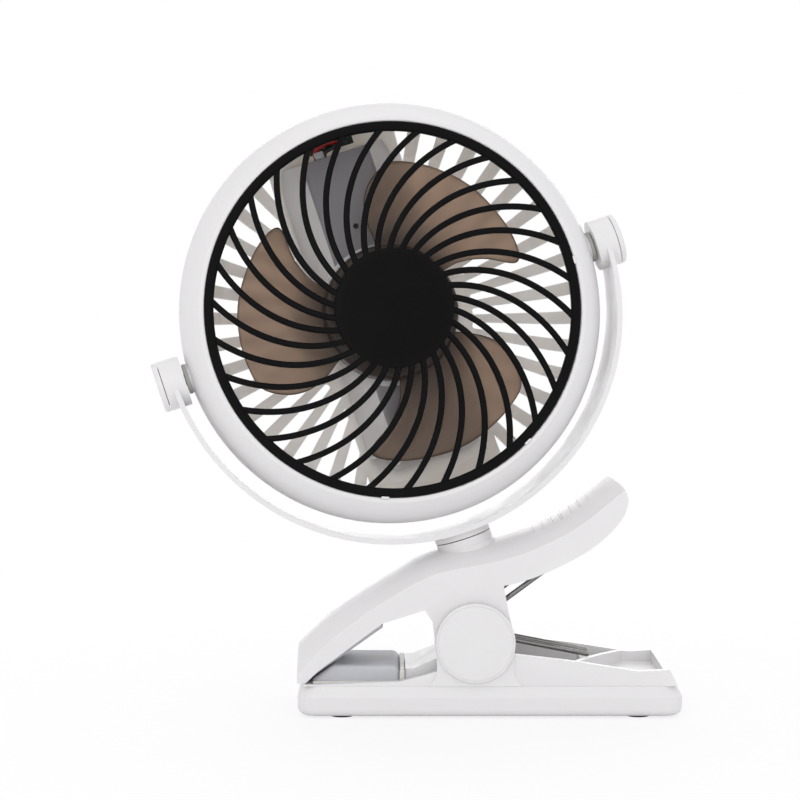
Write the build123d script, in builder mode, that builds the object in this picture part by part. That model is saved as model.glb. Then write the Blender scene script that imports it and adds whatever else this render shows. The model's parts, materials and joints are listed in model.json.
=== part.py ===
from build123d import *
import math
import os

os.makedirs("parts", exist_ok=True)

# Clip fan. X runs along the clip (jaw at -X, handle at +X), Y away from the viewer, Z up.
# The origin is the centre of the clip base's underside. Millimetres and degrees.

# ---- pose of the head: how far the neck leans, and how the head turns and tilts on it
neck_lean = 18.0
head_turn = 6.0
head_tilt = 4.5

# ---- clearances shared by the pieces
loose_gap = 0.30
running_gap = 0.06
press_gap = 0.03

# ---- clip base
base_length = 130.0
base_width = 52.0
base_corner = 7.0
base_bottom_round = 2.6
slab_height = 6.4
deck_height = 10.0
deck_inset = 1.9
deck_round = 0.4
rail_thickness = 2.6
rail_gap = 0.6
well_floor = 3.0
ear_flank = 3.6
ramp_start = -28.6
ramp_crease = -26.0
ramp_end = -14.0
ramp_low = 15.0
ramp_high = 20.3
ramp_half = 17.4
well_left = -26.5
tray_floor = 11.6
drain_radius = 0.7
drain_place = (49.0, -5.0)
tray_right = 58.4
partition_thickness = 1.6
foot_radius = 4.0
foot_height = 0.6
foot_recess = 1.0
foot_reach_x = 50.0
foot_reach_y = 19.5

# ---- clip hinge
hinge_x = -5.0
hinge_z = 24.7
axle_radius = 2.5
ear_radius = 13.0
ear_proud = 0.6
ear_skirt_x = 2.6
cap_radius = 13.4
cap_thickness = 1.5

# ---- upper arm
arm_width = 40.8
arm_wall = 2.4
arm_ear_radius = 13.6
arm_crown = 5.5
tip_bulge = 1.4
jaw_x = -65.2
jaw_bottom = 10.4
groove_count = 7
groove_radius = 0.5
groove_from_tip = 10.5
groove_pitch = 3.55
groove_length = 22.0

# ---- jaw pads
pad_slope = 35.3
pad_tip_x = -60.0
pad_tip_z = 11.9
pad_length = 29.4
pad_thickness = 2.6
upper_pad_width = 30.8
pad_meeting_gap = 0.5
pad_backing = 1.8
lower_pad_top = 16.2
lower_pad_back_x = -30.6
pad_tray_floor = 1.0
pad_tray_rim = 1.8
pad_tray_rim_height = 5.0
pad_corner = 1.4

# ---- torsion spring
wire_radius = 0.9
coil_radius = 4.7
coil_pitch = 2.35
coil_whole_turns = 3
coil_inner_y = 5.6
lower_leg_lift = 18.0
lower_leg_bend_x = 6.4
lower_leg_bend = 2.6
lower_leg_end_x = 34.2
spring_seat_half = 7.0
spring_seat_length = 3.4
lower_leg_drop = 11.0
upper_leg_rise = 37.0
upper_leg_length = 42.0
bridge_bend = 2.4
bridge_seat_thickness = 2.4

# ---- neck
neck_seam_x = -8.7
neck_seam_z = 58.3
neck_radius = 9.7
neck_disc_height = 2.1
neck_stud_radius = 5.0
neck_stud_length = 14.2
collar_flare = 1.6
collar_depth = 7.2
collar_straight = 2.6
collar_boss_radius = 8.0
neck_washer_radius = 7.0
neck_washer_thickness = 0.8
neck_screw_radius = 1.5
neck_screw_head_radius = 3.2
neck_screw_head_height = 2.0
neck_screw_length = 9.0

# ---- head shell
head_radius = 72.2
shell_wall = 2.0
seam_depth = -7.0
mouth_front = 15.2
rim_width = 1.6
rim_round = 0.5
bezel_round_start = 1.0
rear_depth = -26.0
rear_flat_radius = 58.0

# ---- front grille
ring_outer_radius = 63.7
ring_width = 3.2
ring_depth = 2.9
ledge_depth = 12.9
ledge_thickness = 1.4
ledge_reach = 2.4
rib_count = 30
rib_width = 1.9
rib_depth = 2.3
rib_twist = 0.889
rib_phase = 27.9
grille_rise = 5.4
hub_disc_radius = 20.3
hub_disc_thickness = 3.0
hub_disc_rise = 1.3

# ---- yoke
yoke_gap = 4.8
yoke_thickness = 1.8
yoke_width = 24.0
barrel_radius = 8.7
barrel_inner = 1.8
barrel_length = 7.4
barrel_pocket_radius = 6.5
barrel_pocket_depth = 4.0
knob_cap_thickness = 1.9
knob_cap_seam = 0.2
knob_plug_wall = 1.2
knob_plug_length = 1.6
spacer_radius = 5.2
pivot_screw_radius = 2.0
pivot_screw_head_radius = 3.8
pivot_screw_head_height = 2.2
boss_radius = 5.0
boss_depth = 6.5
boss_proud = 0.1

# ---- propeller and motor
blade_tip_radius = 52.4
blade_thickness = 1.3
blade_pitch_reach = 7.0
blade_phase = 45.5
prop_hub_radius = 23.2
prop_hub_front = 5.5
prop_hub_back = -6.4
prop_hub_wall = 1.6
prop_boss_radius = 3.2
shaft_radius = 1.0
shaft_front = 4.2
motor_radius = 12.2
motor_front = 0.6
motor_nose_radius = 3.4
motor_nose = 0.5
mount_radius = 24.8
mount_thickness = 1.6
mount_collar_wall = 1.4
mount_collar_height = 3.0
motor_screw_radius = 1.0
motor_screw_head_radius = 1.9
motor_screw_head_height = 1.0
motor_screw_reach = 17.0

# ---- battery and control housing
housing_front = -9.6
housing_wall = 1.6
housing_base_half = 20.6
housing_front_half = 11.4
housing_low = -46.0
housing_high = 60.7
housing_end_slope = 2.0
housing_edge_round = 1.2
strip_half = 23.5
slot_count = 40
slot_inner = 31.0
slot_outer = 69.5
slot_inner_spread = 2.0
slot_outer_spread = 2.5
slot_inner_round = 0.9
slot_outer_round = 2.0
cover_half = 21.0
cover_low = -53.0
cover_high = 55.0
cover_corner = 8.0
cover_flange = 1.4
cover_hump = 4.6
cover_side_inset = 3.0
cover_end_inset = 7.0
cover_wall = 1.6
cover_round = 0.5
cover_screw_x = 12.0
cover_screw_radius = 1.2
cover_screw_head_radius = 2.2
cover_screw_head_height = 1.0
cover_screw_length = 7.9
screw_boss_wall = 1.4
cell_radius = 9.15
cell_length = 65.0
cell_low = -41.0
cell_depth = -20.8
board_half = 9.0
board_low = 28.0
board_high = 52.0
board_front = -13.2
board_thickness = 1.6
board_post_radius = 1.6
switch_size = 6.0
switch_height = 3.6
button_y = 36.0
button_radius = 5.0
button_proud = 0.9
button_flange_radius = 6.4
button_flange_thickness = 1.0
button_stem_radius = 1.6
button_travel = 0.5
lamp_y = 44.2
lamp_radius = 1.5
port_board_half = 8.0
port_board_low = 61.3
port_board_high = 66.0
port_board_thickness = 1.4
port_depth = -12.0
port_width = 7.6
port_height = 2.8
port_low = 64.6
port_high = 71.0
port_wall = 0.4
port_tongue = 0.7
crown_rise = 0.7
crown_half = 21.0
crown_back = -16.0
crown_notch_half = 5.0
crown_notch_floor = 71.3
lead_radius = 0.75

# ---------------------------------------------------------------- frames of the moving groups
neck_up = Vector(0, 0, 1).rotate(Axis.Y, -neck_lean)
neck_line = Axis((0, 0, 0), neck_up)
pivot_way = Vector(1, 0, 0).rotate(Axis.Y, -neck_lean).rotate(neck_line, head_turn)
level_facing = Vector(0, -1, 0).rotate(neck_line, head_turn)
facing = level_facing.rotate(Axis((0, 0, 0), pivot_way), -head_tilt)

yoke_inner_radius = head_radius + yoke_gap
yoke_outer_radius = yoke_inner_radius + yoke_thickness
neck_seam_radius = yoke_outer_radius + neck_disc_height
neck_seam = Vector(neck_seam_x, 0, neck_seam_z)
head_centre = neck_seam + neck_up * neck_seam_radius

head = Plane(origin=head_centre, x_dir=pivot_way, z_dir=facing)
head_axis = Axis(head_centre, facing)
head_section = Plane(origin=head_centre, x_dir=pivot_way, z_dir=pivot_way.cross(facing))
yoke_section = Plane(origin=head_centre, x_dir=pivot_way, z_dir=pivot_way.cross(neck_up))
yoke_side = Plane(origin=head_centre, x_dir=neck_up.cross(pivot_way), z_dir=pivot_way)
pivot_axis = Axis(head_centre, pivot_way)
neck_axis = Axis(head_centre, neck_up)
clip_section = Plane(origin=(0, 0, 0), x_dir=(1, 0, 0), z_dir=(0, -1, 0))


def save(part, name):
    """Label a finished piece and write it."""
    part.label = name
    export_step(part, "parts/" + name + ".step")


def head_point(x, y, z):
    """World place of a point given in the head's own frame."""
    return head.from_local_coords(Vector(x, y, z))


def polar(radius, angle):
    """Flat point at a radius and an angle in degrees."""
    return (radius * math.cos(math.radians(angle)), radius * math.sin(math.radians(angle)))


def crown_arc(start, end, bulge):
    """Middle point of an arc that bulges to the left of its chord by bulge."""
    along = Vector(*end) - Vector(*start)
    left = Vector(-along.Y, along.X).normalized()
    middle = Vector(*start) + along * 0.5 + left * bulge
    return (middle.X, middle.Y)


# ================================================================ clip base
arm_half = arm_width / 2
rail_inner = arm_half + rail_gap
rail_outer = rail_inner + rail_thickness
ear_outer = rail_outer + ear_proud
base_half = base_length / 2

rail_left_end = (-base_half + deck_inset, deck_height)
rail_right_end = (base_half - deck_inset, deck_height)
rail_outline = [
    rail_left_end,
    (-base_half + deck_inset, deck_height + 0.3),
    (-30.0, deck_height + 1.7),
    (hinge_x - ear_radius, deck_height + 5.0),
    (hinge_x + ear_radius, deck_height + 10.8),
    (30.0, deck_height + 8.2),
    (base_half - 15.0, deck_height + 5.0),
    (base_half - 4.6, deck_height + 5.6),
    rail_right_end,
]
partition_start = (28.6, -rail_inner)
partition_middle = (37.2, 1.0)
partition_end = (46.5, rail_inner)


# place of the spring's lower legs: they leave the coil, bend down and rest on the ledge by their tips
leg_start_angle = math.radians(-90 + lower_leg_lift)
leg_start_x = hinge_x + coil_radius * math.cos(leg_start_angle)
leg_start_z = hinge_z + coil_radius * math.sin(leg_start_angle)
leg_corner_z = leg_start_z + (lower_leg_bend_x - leg_start_x) * math.tan(math.radians(lower_leg_lift))
spring_tip_x = lower_leg_end_x
spring_tip_z = leg_corner_z - (lower_leg_end_x - lower_leg_bend_x) * math.tan(math.radians(lower_leg_drop))
spring_seat_top = spring_tip_z - wire_radius / math.cos(math.radians(lower_leg_drop)) - running_gap


def partition_edge(shift):
    """The curved wall across the tray, moved along X."""
    return ThreePointArc(
        (partition_start[0] + shift, partition_start[1]),
        (partition_middle[0] + shift, partition_middle[1]),
        (partition_end[0] + shift, partition_end[1]),
    )


# curved wall across the tray, as high as the rails
with BuildPart() as partition_wall:
    with BuildSketch(Plane.XY.offset(well_floor - 1)):
        with BuildLine():
            left_edge = partition_edge(0)
            right_edge = partition_edge(partition_thickness)
            Line(left_edge @ 1, right_edge @ 1)
            Line(left_edge @ 0, right_edge @ 0)
        make_face()
    extrude(amount=2 * hinge_z)
    with BuildSketch(clip_section):
        with BuildLine():
            Polyline(*rail_outline, (rail_right_end[0], 0), (rail_left_end[0], 0), close=True)
        make_face()
    extrude(amount=rail_outer, both=True, mode=Mode.INTERSECT)

with BuildPart() as clip_base:
    with BuildSketch(Plane.XY):
        RectangleRounded(base_length, base_width, base_corner)
    extrude(amount=slab_height)
    fillet(clip_base.edges().group_by(Axis.Z)[0], base_bottom_round)
    with BuildSketch(Plane.XY.offset(slab_height)):
        RectangleRounded(base_length, base_width, base_corner)
    with BuildSketch(Plane.XY.offset(deck_height)):
        RectangleRounded(base_length - 2 * deck_inset, base_width - 2 * deck_inset, base_corner)
    loft()
    fillet(clip_base.edges().group_by(Axis.Z)[-1], deck_round)
    with BuildSketch(clip_section):
        with BuildLine():
            Polyline(*rail_outline, close=True)
        make_face()
    extrude(amount=rail_outer, both=True)
    # deep well under the spring, up to the curved partition
    with BuildSketch(Plane.XY.offset(well_floor)):
        with BuildLine():
            edge = partition_edge(0)
            Line(edge @ 1, (well_left, rail_inner))
            Line((well_left, rail_inner), (well_left, -rail_inner))
            Line((well_left, -rail_inner), edge @ 0)
        make_face()
    extrude(amount=2 * deck_height, mode=Mode.SUBTRACT)
    # shallow tray at the handle end
    with BuildSketch(Plane.XY.offset(tray_floor)):
        with BuildLine():
            edge = partition_edge(partition_thickness)
            Line(edge @ 1, (tray_right, rail_inner))
            Line((tray_right, rail_inner), (tray_right, -rail_inner))
            Line((tray_right, -rail_inner), edge @ 0)
        make_face()
    extrude(amount=deck_height, mode=Mode.SUBTRACT)
    add(partition_wall.part)
    # ledge that the spring's lower legs push on, and the drain hole
    with BuildSketch(Plane.XY.offset(well_floor - 1)):
        with Locations((spring_tip_x - spring_seat_length / 2 + 0.4, 0)):
            Rectangle(spring_seat_length, 2 * spring_seat_half)
    extrude(amount=spring_seat_top - well_floor + 1)
    with BuildSketch(Plane.XY.offset(tray_floor)):
        with Locations(drain_place):
            Circle(drain_radius)
    extrude(amount=-3 * drain_radius, mode=Mode.SUBTRACT)
    # the deck under the jaw stays open between the low rails
    with BuildSketch(Plane.XY.offset(deck_height)):
        with Locations(((well_left - base_half) / 2, 0)):
            Rectangle(base_half + well_left + 0.1, 2 * rail_inner)
    extrude(amount=deck_height, mode=Mode.SUBTRACT)
    # ramp between the lower pad's tray and the hinge
    with BuildSketch(clip_section):
        with BuildLine():
            Polyline(
                (ramp_start, well_floor),
                (ramp_start, ramp_low),
                (ramp_crease, ramp_low),
                (ramp_end, ramp_high),
                (ramp_end, well_floor),
                close=True,
            )
        make_face()
    extrude(amount=ramp_half, both=True)
    # hinge ears
    for side in (-1, 1):
        inner_face = rail_inner if side > 0 else -ear_outer
        with BuildSketch(Plane.XZ.offset(-inner_face)):
            with Locations((hinge_x, hinge_z)):
                Circle(ear_radius)
            with BuildLine():
                Polyline(
                    (hinge_x - ear_radius, hinge_z),
                    (hinge_x - ear_radius, deck_height + ear_flank),
                    (hinge_x - ear_radius - ear_skirt_x, deck_height),
                    (hinge_x + ear_radius + ear_skirt_x, deck_height),
                    (hinge_x + ear_radius, deck_height + ear_flank),
                    (hinge_x + ear_radius, hinge_z),
                    close=True,
                )
            make_face()
        extrude(amount=-(ear_outer - rail_inner))
    with BuildSketch(Plane.XZ.offset(-ear_outer)):
        with Locations((hinge_x, hinge_z)):
            Circle(axle_radius + press_gap)
    extrude(amount=2 * ear_outer, mode=Mode.SUBTRACT)
    # pockets for the rubber feet
    with BuildSketch(Plane.XY):
        with GridLocations(2 * foot_reach_x, 2 * foot_reach_y, 2, 2):
            Circle(foot_radius + press_gap)
    extrude(amount=foot_recess, mode=Mode.SUBTRACT)
save(clip_base.part, "clip_base")

with BuildPart() as rubber_feet:
    with BuildSketch(Plane.XY.offset(-foot_height)):
        with GridLocations(2 * foot_reach_x, 2 * foot_reach_y, 2, 2):
            Circle(foot_radius)
    extrude(amount=foot_height + foot_recess)
save(rubber_feet.part, "rubber_feet")

with BuildPart() as pivot_axle:
    with BuildSketch(Plane.XZ.offset(-ear_outer)):
        with Locations((hinge_x, hinge_z)):
            Circle(axle_radius)
    extrude(amount=2 * ear_outer)
    chamfer(pivot_axle.edges().filter_by(GeomType.CIRCLE), axle_radius / 8)
save(pivot_axle.part, "pivot_axle")

with BuildPart() as pivot_caps:
    for outer_face in (ear_outer + cap_thickness, -ear_outer):
        with BuildSketch(Plane.XZ.offset(-outer_face)):
            with Locations((hinge_x, hinge_z)):
                Circle(cap_radius)
        extrude(amount=cap_thickness)
    fillet(pivot_caps.edges().group_by(Axis.Y)[0], cap_thickness / 3)
    fillet(pivot_caps.edges().group_by(Axis.Y)[-1], cap_thickness / 3)
save(pivot_caps.part, "pivot_caps")

# ---------------------------------------------------------------- lower jaw pad in its tray
pad_half = rail_inner - 3.4
pad_run = Vector(math.cos(math.radians(pad_slope)), math.sin(math.radians(pad_slope)))
pad_rise = math.tan(math.radians(pad_slope))
pad_drop = pad_meeting_gap / math.cos(math.radians(pad_slope))
lower_pad_floor = deck_height + pad_tray_floor
tray_back_x = lower_pad_back_x + press_gap + pad_tray_rim
slope_foot_x = pad_tip_x + (lower_pad_floor + pad_drop + 0.3 - pad_tip_z) / pad_rise
slope_top_x = pad_tip_x + (lower_pad_top + pad_drop - pad_tip_z) / pad_rise

with BuildPart() as lower_jaw_pad:
    with BuildSketch(clip_section):
        with BuildLine():
            Polyline(
                (slope_foot_x, lower_pad_floor),
                (slope_foot_x, lower_pad_floor + 0.3),
                (slope_top_x, lower_pad_top),
                (lower_pad_back_x, lower_pad_top),
                (lower_pad_back_x, lower_pad_floor),
                close=True,
            )
        make_face()
    extrude(amount=pad_half, both=True)
    fillet(lower_jaw_pad.edges().filter_by(Axis.Y).sort_by(Axis.Z)[-2:], 2 * pad_corner)
    fillet(lower_jaw_pad.edges().filter_by(Axis.Z).sort_by(Axis.X)[-2:], pad_corner)
save(lower_jaw_pad.part, "lower_jaw_pad")

with BuildPart() as pad_tray:
    with BuildSketch(Plane.XY.offset(deck_height)):
        with Locations(((slope_foot_x + tray_back_x) / 2, 0)):
            Rectangle(tray_back_x - slope_foot_x, 2 * (pad_half + 1.4))
    extrude(amount=pad_tray_floor)
    with BuildSketch(Plane.XY.offset(deck_height)):
        with Locations((lower_pad_back_x + press_gap + pad_tray_rim / 2, 0)):
            Rectangle(pad_tray_rim, 2 * (pad_half + 1.4))
    extrude(amount=pad_tray_rim_height)
    fillet(pad_tray.edges().filter_by(Axis.Y).group_by(Axis.Z)[-1], pad_tray_rim / 3)
save(pad_tray.part, "pad_tray")

# ================================================================ upper arm
top_line = [
    (jaw_x, 21.4),
    (-57.3, 29.1),
    (-46.0, 38.0),
    (-33.8, 45.9),
    (-20.7, 52.5),
    (-8.0, 55.4),
    (5.8, 58.5),
    (17.9, 63.3),
    (28.2, 69.2),
    (35.1, 74.7),
    (40.8, 79.4),
]
tip_outer = (46.6, 72.2)
tip_lower = (45.4, 67.8)
low_line = [tip_lower, (40.3, 61.2), (33.6, 55.7), (26.9, 51.8), (20.1, 48.5), (13.4, 45.8), (4.6, 43.6)]
throat_top = (-22.0, 35.3)
pad_shelf_end = (-36.5, 30.7)
pad_shelf_start = (-58.0, 14.6)
jaw_heel = (jaw_x + 2.8, jaw_bottom)
arm_ear_left = (hinge_x - arm_ear_radius, hinge_z)
arm_ear_right = (hinge_x + arm_ear_radius, hinge_z)
ear_shoulder = (hinge_x + arm_ear_radius - 2.4, hinge_z + 10.0)
ear_flare = (hinge_x - arm_ear_radius - 0.8, hinge_z + 6.6)
arm_cavity_half = arm_half - arm_wall
pad_up = Vector(-pad_run.Y, pad_run.X)
pad_tip = Vector(pad_tip_x, pad_tip_z)
pad_heel = pad_tip + pad_run * pad_length
pad_corners = [pad_tip, pad_heel, pad_heel + pad_up * pad_thickness, pad_tip + pad_up * pad_thickness]
backing_corners = [
    pad_tip + pad_up * (pad_thickness / 2),
    pad_heel + pad_up * (pad_thickness / 2),
    pad_heel + pad_up * (pad_thickness + pad_backing),
    pad_tip + pad_up * (pad_thickness + pad_backing),
]
crown_radius = (arm_half ** 2 + arm_crown ** 2) / (2 * arm_crown)
crown_stock = (-0.7, 1.0)
end_run = 12.0


def arch_drop(radius, reach):
    """How far an arch of this radius falls at a distance to the side."""
    return radius - math.sqrt(radius ** 2 - reach ** 2)


# the arm's roof is an arch carried along the top line: each form here is the space above one arch
with BuildLine(clip_section) as roof_line:
    top_edge = Spline(*top_line)
    Line(top_edge @ 0 - (top_edge % 0) * end_run, top_edge @ 0)
    Line(top_edge @ 1, top_edge @ 1 + (top_edge % 1) * end_run)
roof_wire = roof_line.wire()
roof_up = clip_section.z_dir.cross(roof_wire % 0)
sky_forms = []
for reach, sink in ((arm_half + 1, 0), (arm_cavity_half + 1, arm_wall)):
    low = -sink - arch_drop(crown_radius - sink, reach)
    with BuildPart() as sky:
        with BuildSketch(Plane(origin=roof_wire @ 0, x_dir=(0, 1, 0), z_dir=roof_wire % 0)):
            with BuildLine():
                side_up = 1 if roof_up.Z > 0 else -1
                ThreePointArc((-reach, side_up * low), (0, -side_up * sink), (reach, side_up * low))
                Line((reach, side_up * low), (reach, side_up * 5))
                Line((reach, side_up * 5), (-reach, side_up * 5))
                Line((-reach, side_up * 5), (-reach, side_up * low))
            make_face()
        sweep(path=roof_wire)
    sky_forms.append(sky.part)

# place of the spring's bridge, and of the rib above it
bridge_reach = upper_leg_length + bridge_bend
bridge_way = (math.cos(math.radians(upper_leg_rise)), math.sin(math.radians(upper_leg_rise)))
bridge_x = hinge_x - coil_radius * bridge_way[1] + bridge_reach * bridge_way[0]
bridge_z = hinge_z + coil_radius * bridge_way[0] + bridge_reach * bridge_way[1]
seat_low = bridge_z + wire_radius + loose_gap
seat_high = max(z for x, z in top_line if x < bridge_x)

with BuildPart() as arm_cavity:
    with BuildSketch(clip_section):
        with BuildLine():
            roof = Spline(*top_line)
            Line(roof @ 1, (top_line[-1][0], 0))
            Line((top_line[-1][0], 0), (jaw_x, 0))
            Line((jaw_x, 0), roof @ 0)
        make_face()
        with Locations((jaw_x + arm_wall / 2, 0)):
            Rectangle(arm_wall, 2 * hinge_z, mode=Mode.SUBTRACT)
    extrude(amount=arm_cavity_half, both=True)
    add(sky_forms[1], mode=Mode.SUBTRACT)

with BuildPart() as groove_bars:
    for number in range(groove_count):
        along = 1 - (groove_from_tip + number * groove_pitch) / top_edge.length
        spot = top_edge.position_at(along)
        way = top_edge.tangent_at(along)
        down = Vector(way.Z, 0, -way.X)
        with Locations(Plane(origin=spot + down * crown_radius, x_dir=(0, 1, 0), z_dir=way)):
            Torus(crown_radius, groove_radius)
    Box(4 * base_length, groove_length, 4 * base_length, mode=Mode.INTERSECT)

with BuildPart() as clip_arm:
    with BuildSketch(clip_section):
        with BuildLine():
            stock_edge = Spline(*[(x + crown_stock[0], z + crown_stock[1]) for x, z in top_line])
            Line(stock_edge @ 1, top_line[-1])
            tip_arc = ThreePointArc(top_line[-1], crown_arc(top_line[-1], tip_outer, tip_bulge), tip_outer)
            Line(tip_arc @ 1, tip_lower)
            low_edge = Spline(*low_line)
            Line(low_edge @ 1, ear_shoulder)
            Line(ear_shoulder, arm_ear_right)
            ThreePointArc(arm_ear_right, (hinge_x, hinge_z - arm_ear_radius), arm_ear_left)
            Line(arm_ear_left, ear_flare)
            Line(ear_flare, throat_top)
            Line(throat_top, pad_shelf_end)
            Line(pad_shelf_end, pad_shelf_start)
            Line(pad_shelf_start, jaw_heel)
            Line(jaw_heel, (jaw_x, jaw_bottom))
            Line((jaw_x, jaw_bottom), top_line[0])
            Line(top_line[0], stock_edge @ 0)
        make_face()
    extrude(amount=arm_half, both=True)
    add(arm_cavity.part, mode=Mode.SUBTRACT)
    # cross rib under the handle that the spring's bridge pushes on
    with BuildSketch(clip_section):
        with Locations((bridge_x, (seat_low + seat_high) / 2)):
            Rectangle(bridge_seat_thickness, seat_high - seat_low)
    extrude(amount=arm_cavity_half + arm_wall / 2, both=True)
    # plate behind the upper pad, and the pad's own place in it
    with BuildSketch(clip_section):
        with BuildLine():
            Polyline(*[(corner.X, corner.Y) for corner in backing_corners], close=True)
        make_face()
    extrude(amount=arm_cavity_half + arm_wall / 2, both=True)
    add(sky_forms[0], mode=Mode.SUBTRACT)
    with BuildSketch(clip_section):
        with BuildLine():
            Polyline(*[(corner.X, corner.Y) for corner in pad_corners], close=True)
        make_face()
    extrude(amount=upper_pad_width / 2, both=True, mode=Mode.SUBTRACT)
    # round collar that carries the neck
    collar_top = neck_seam_radius + loose_gap
    collar_low = neck_seam_radius + neck_stud_length
    with BuildSketch(yoke_section):
        with BuildLine():
            Line((0, -collar_top), (neck_radius, -collar_top))
            Line((neck_radius, -collar_top), (neck_radius, -collar_top - collar_straight))
            RadiusArc(
                (neck_radius, -collar_top - collar_straight),
                (neck_radius + collar_flare, -collar_top - collar_depth),
                collar_depth,
            )
            Line((neck_radius + collar_flare, -collar_top - collar_depth), (collar_boss_radius, -collar_low))
            Line((collar_boss_radius, -collar_low), (0, -collar_low))
            Line((0, -collar_low), (0, -collar_top))
        make_face()
    revolve(axis=neck_axis)
    with BuildSketch(Plane(origin=head_centre - neck_up * collar_top, x_dir=pivot_way, z_dir=-neck_up)):
        Circle(neck_stud_radius + running_gap)
    extrude(amount=2 * neck_stud_length, mode=Mode.SUBTRACT)
    with BuildSketch(Plane.XZ.offset(-arm_half)):
        with Locations((hinge_x, hinge_z)):
            Circle(axle_radius + running_gap)
    extrude(amount=arm_width, mode=Mode.SUBTRACT)
    # fine cross grooves where the thumb presses
    add(groove_bars.part, mode=Mode.SUBTRACT)
save(clip_arm.part, "clip_arm")

# ---------------------------------------------------------------- upper jaw pad
with BuildPart() as upper_jaw_pad:
    with BuildSketch(clip_section):
        with BuildLine():
            Polyline(*[(corner.X, corner.Y) for corner in pad_corners], close=True)
        make_face()
    extrude(amount=upper_pad_width / 2, both=True)
    fillet(upper_jaw_pad.edges().filter_by(Axis.Y), pad_thickness / 4)
save(upper_jaw_pad.part, "upper_jaw_pad")


# ---------------------------------------------------------------- torsion spring
def coil_point(angle, depth):
    """Point on a coil: angle in degrees about the hinge, depth along it."""
    flat = polar(coil_radius, angle)
    return Vector(hinge_x + flat[0], depth, hinge_z + flat[1])


def coil_heading(angle, side):
    """Direction of travel on a coil whose angle falls while it moves by side along the hinge."""
    rise = coil_pitch / (2 * math.pi * coil_radius)
    turn = math.radians(angle)
    return Vector(math.sin(turn), side * rise, -math.cos(turn)).normalized()


def add_biarc(start, start_way, end, end_way):
    """Two arcs from start to end that leave and arrive along the given directions."""
    span = end - start
    both = start_way + end_way
    spread = 2 * (1 - start_way.dot(end_way))
    reach = (math.sqrt(span.dot(both) ** 2 + spread * span.dot(span)) - span.dot(both)) / spread
    join = (start + start_way * reach + end - end_way * reach) * 0.5
    TangentArc(start, join, tangent=start_way)
    TangentArc(join, end, tangent=(end - end_way * reach - join).normalized())


coil_sweep = 360 * coil_whole_turns + 180 + lower_leg_lift - upper_leg_rise
coil_start_angle = -90 + lower_leg_lift
quarter_count = math.ceil(coil_sweep / 90)
quarter = coil_sweep / quarter_count
coil_outer_y = coil_inner_y + coil_pitch * coil_sweep / 360

with BuildPart() as torsion_spring:
    with BuildLine() as spring_path:
        first = coil_point(coil_start_angle, -coil_inner_y)
        slip = (lower_leg_bend_x - first.X) / math.cos(math.radians(lower_leg_lift)) * coil_pitch / (
            2 * math.pi * coil_radius)
        leg_corner = Vector(lower_leg_bend_x, first.Y + slip, leg_corner_z)
        leg_tip = Vector(spring_tip_x, leg_corner.Y, spring_tip_z)
        FilletPolyline(leg_tip, leg_corner, first, radius=lower_leg_bend)
        for number in range(quarter_count):
            angle = coil_start_angle - number * quarter
            depth = -coil_inner_y - coil_pitch * number * quarter / 360
            next_depth = depth - coil_pitch * quarter / 360
            add_biarc(
                coil_point(angle, depth),
                coil_heading(angle, -1),
                coil_point(angle - quarter, next_depth),
                coil_heading(angle - quarter, -1),
            )
        last = coil_point(coil_start_angle - coil_sweep, -coil_outer_y)
        last_way = coil_heading(coil_start_angle - coil_sweep, -1)
        leg_end = last + last_way * upper_leg_length
        Line(last, leg_end)
        across = Vector(0, 1, 0)
        half_turn = math.radians(last_way.get_angle(across)) / 2
        bend_end = leg_end + (last_way + across).normalized() * (2 * bridge_bend * math.sin(half_turn))
        TangentArc(leg_end, bend_end, tangent=last_way)
        Line(bend_end, (bend_end.X, 0, bend_end.Z))
        mirror(about=Plane.XZ)
    spring_wire = spring_path.wire()
    with BuildSketch(Plane(origin=spring_wire @ 0, z_dir=spring_wire % 0)):
        Circle(wire_radius)
    sweep(path=spring_wire)
save(torsion_spring.part, "torsion_spring")

# least gap between neighbouring turns, measured on points along the wire
sample_count = 600
spring_points = [spring_wire @ (number / sample_count) for number in range(sample_count + 1)]
far_apart = int(sample_count * 4 * coil_radius / spring_wire.length)
least_gap = min(
    (spring_points[one] - spring_points[two]).length
    for one in range(0, sample_count + 1, 2)
    for two in range(one + far_apart, sample_count + 1)
) - 2 * wire_radius
print("spring: least gap to itself", round(least_gap, 2), "mm; volume over section times length",
      round(torsion_spring.part.volume / (math.pi * wire_radius ** 2 * spring_wire.length), 4))

# ================================================================ yoke and neck
barrel_start = head_radius + barrel_inner
barrel_end = barrel_start + barrel_length
pocket_start = barrel_end - barrel_pocket_depth
neck_screw_seat = neck_seam_radius + neck_stud_length + loose_gap / 3

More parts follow.
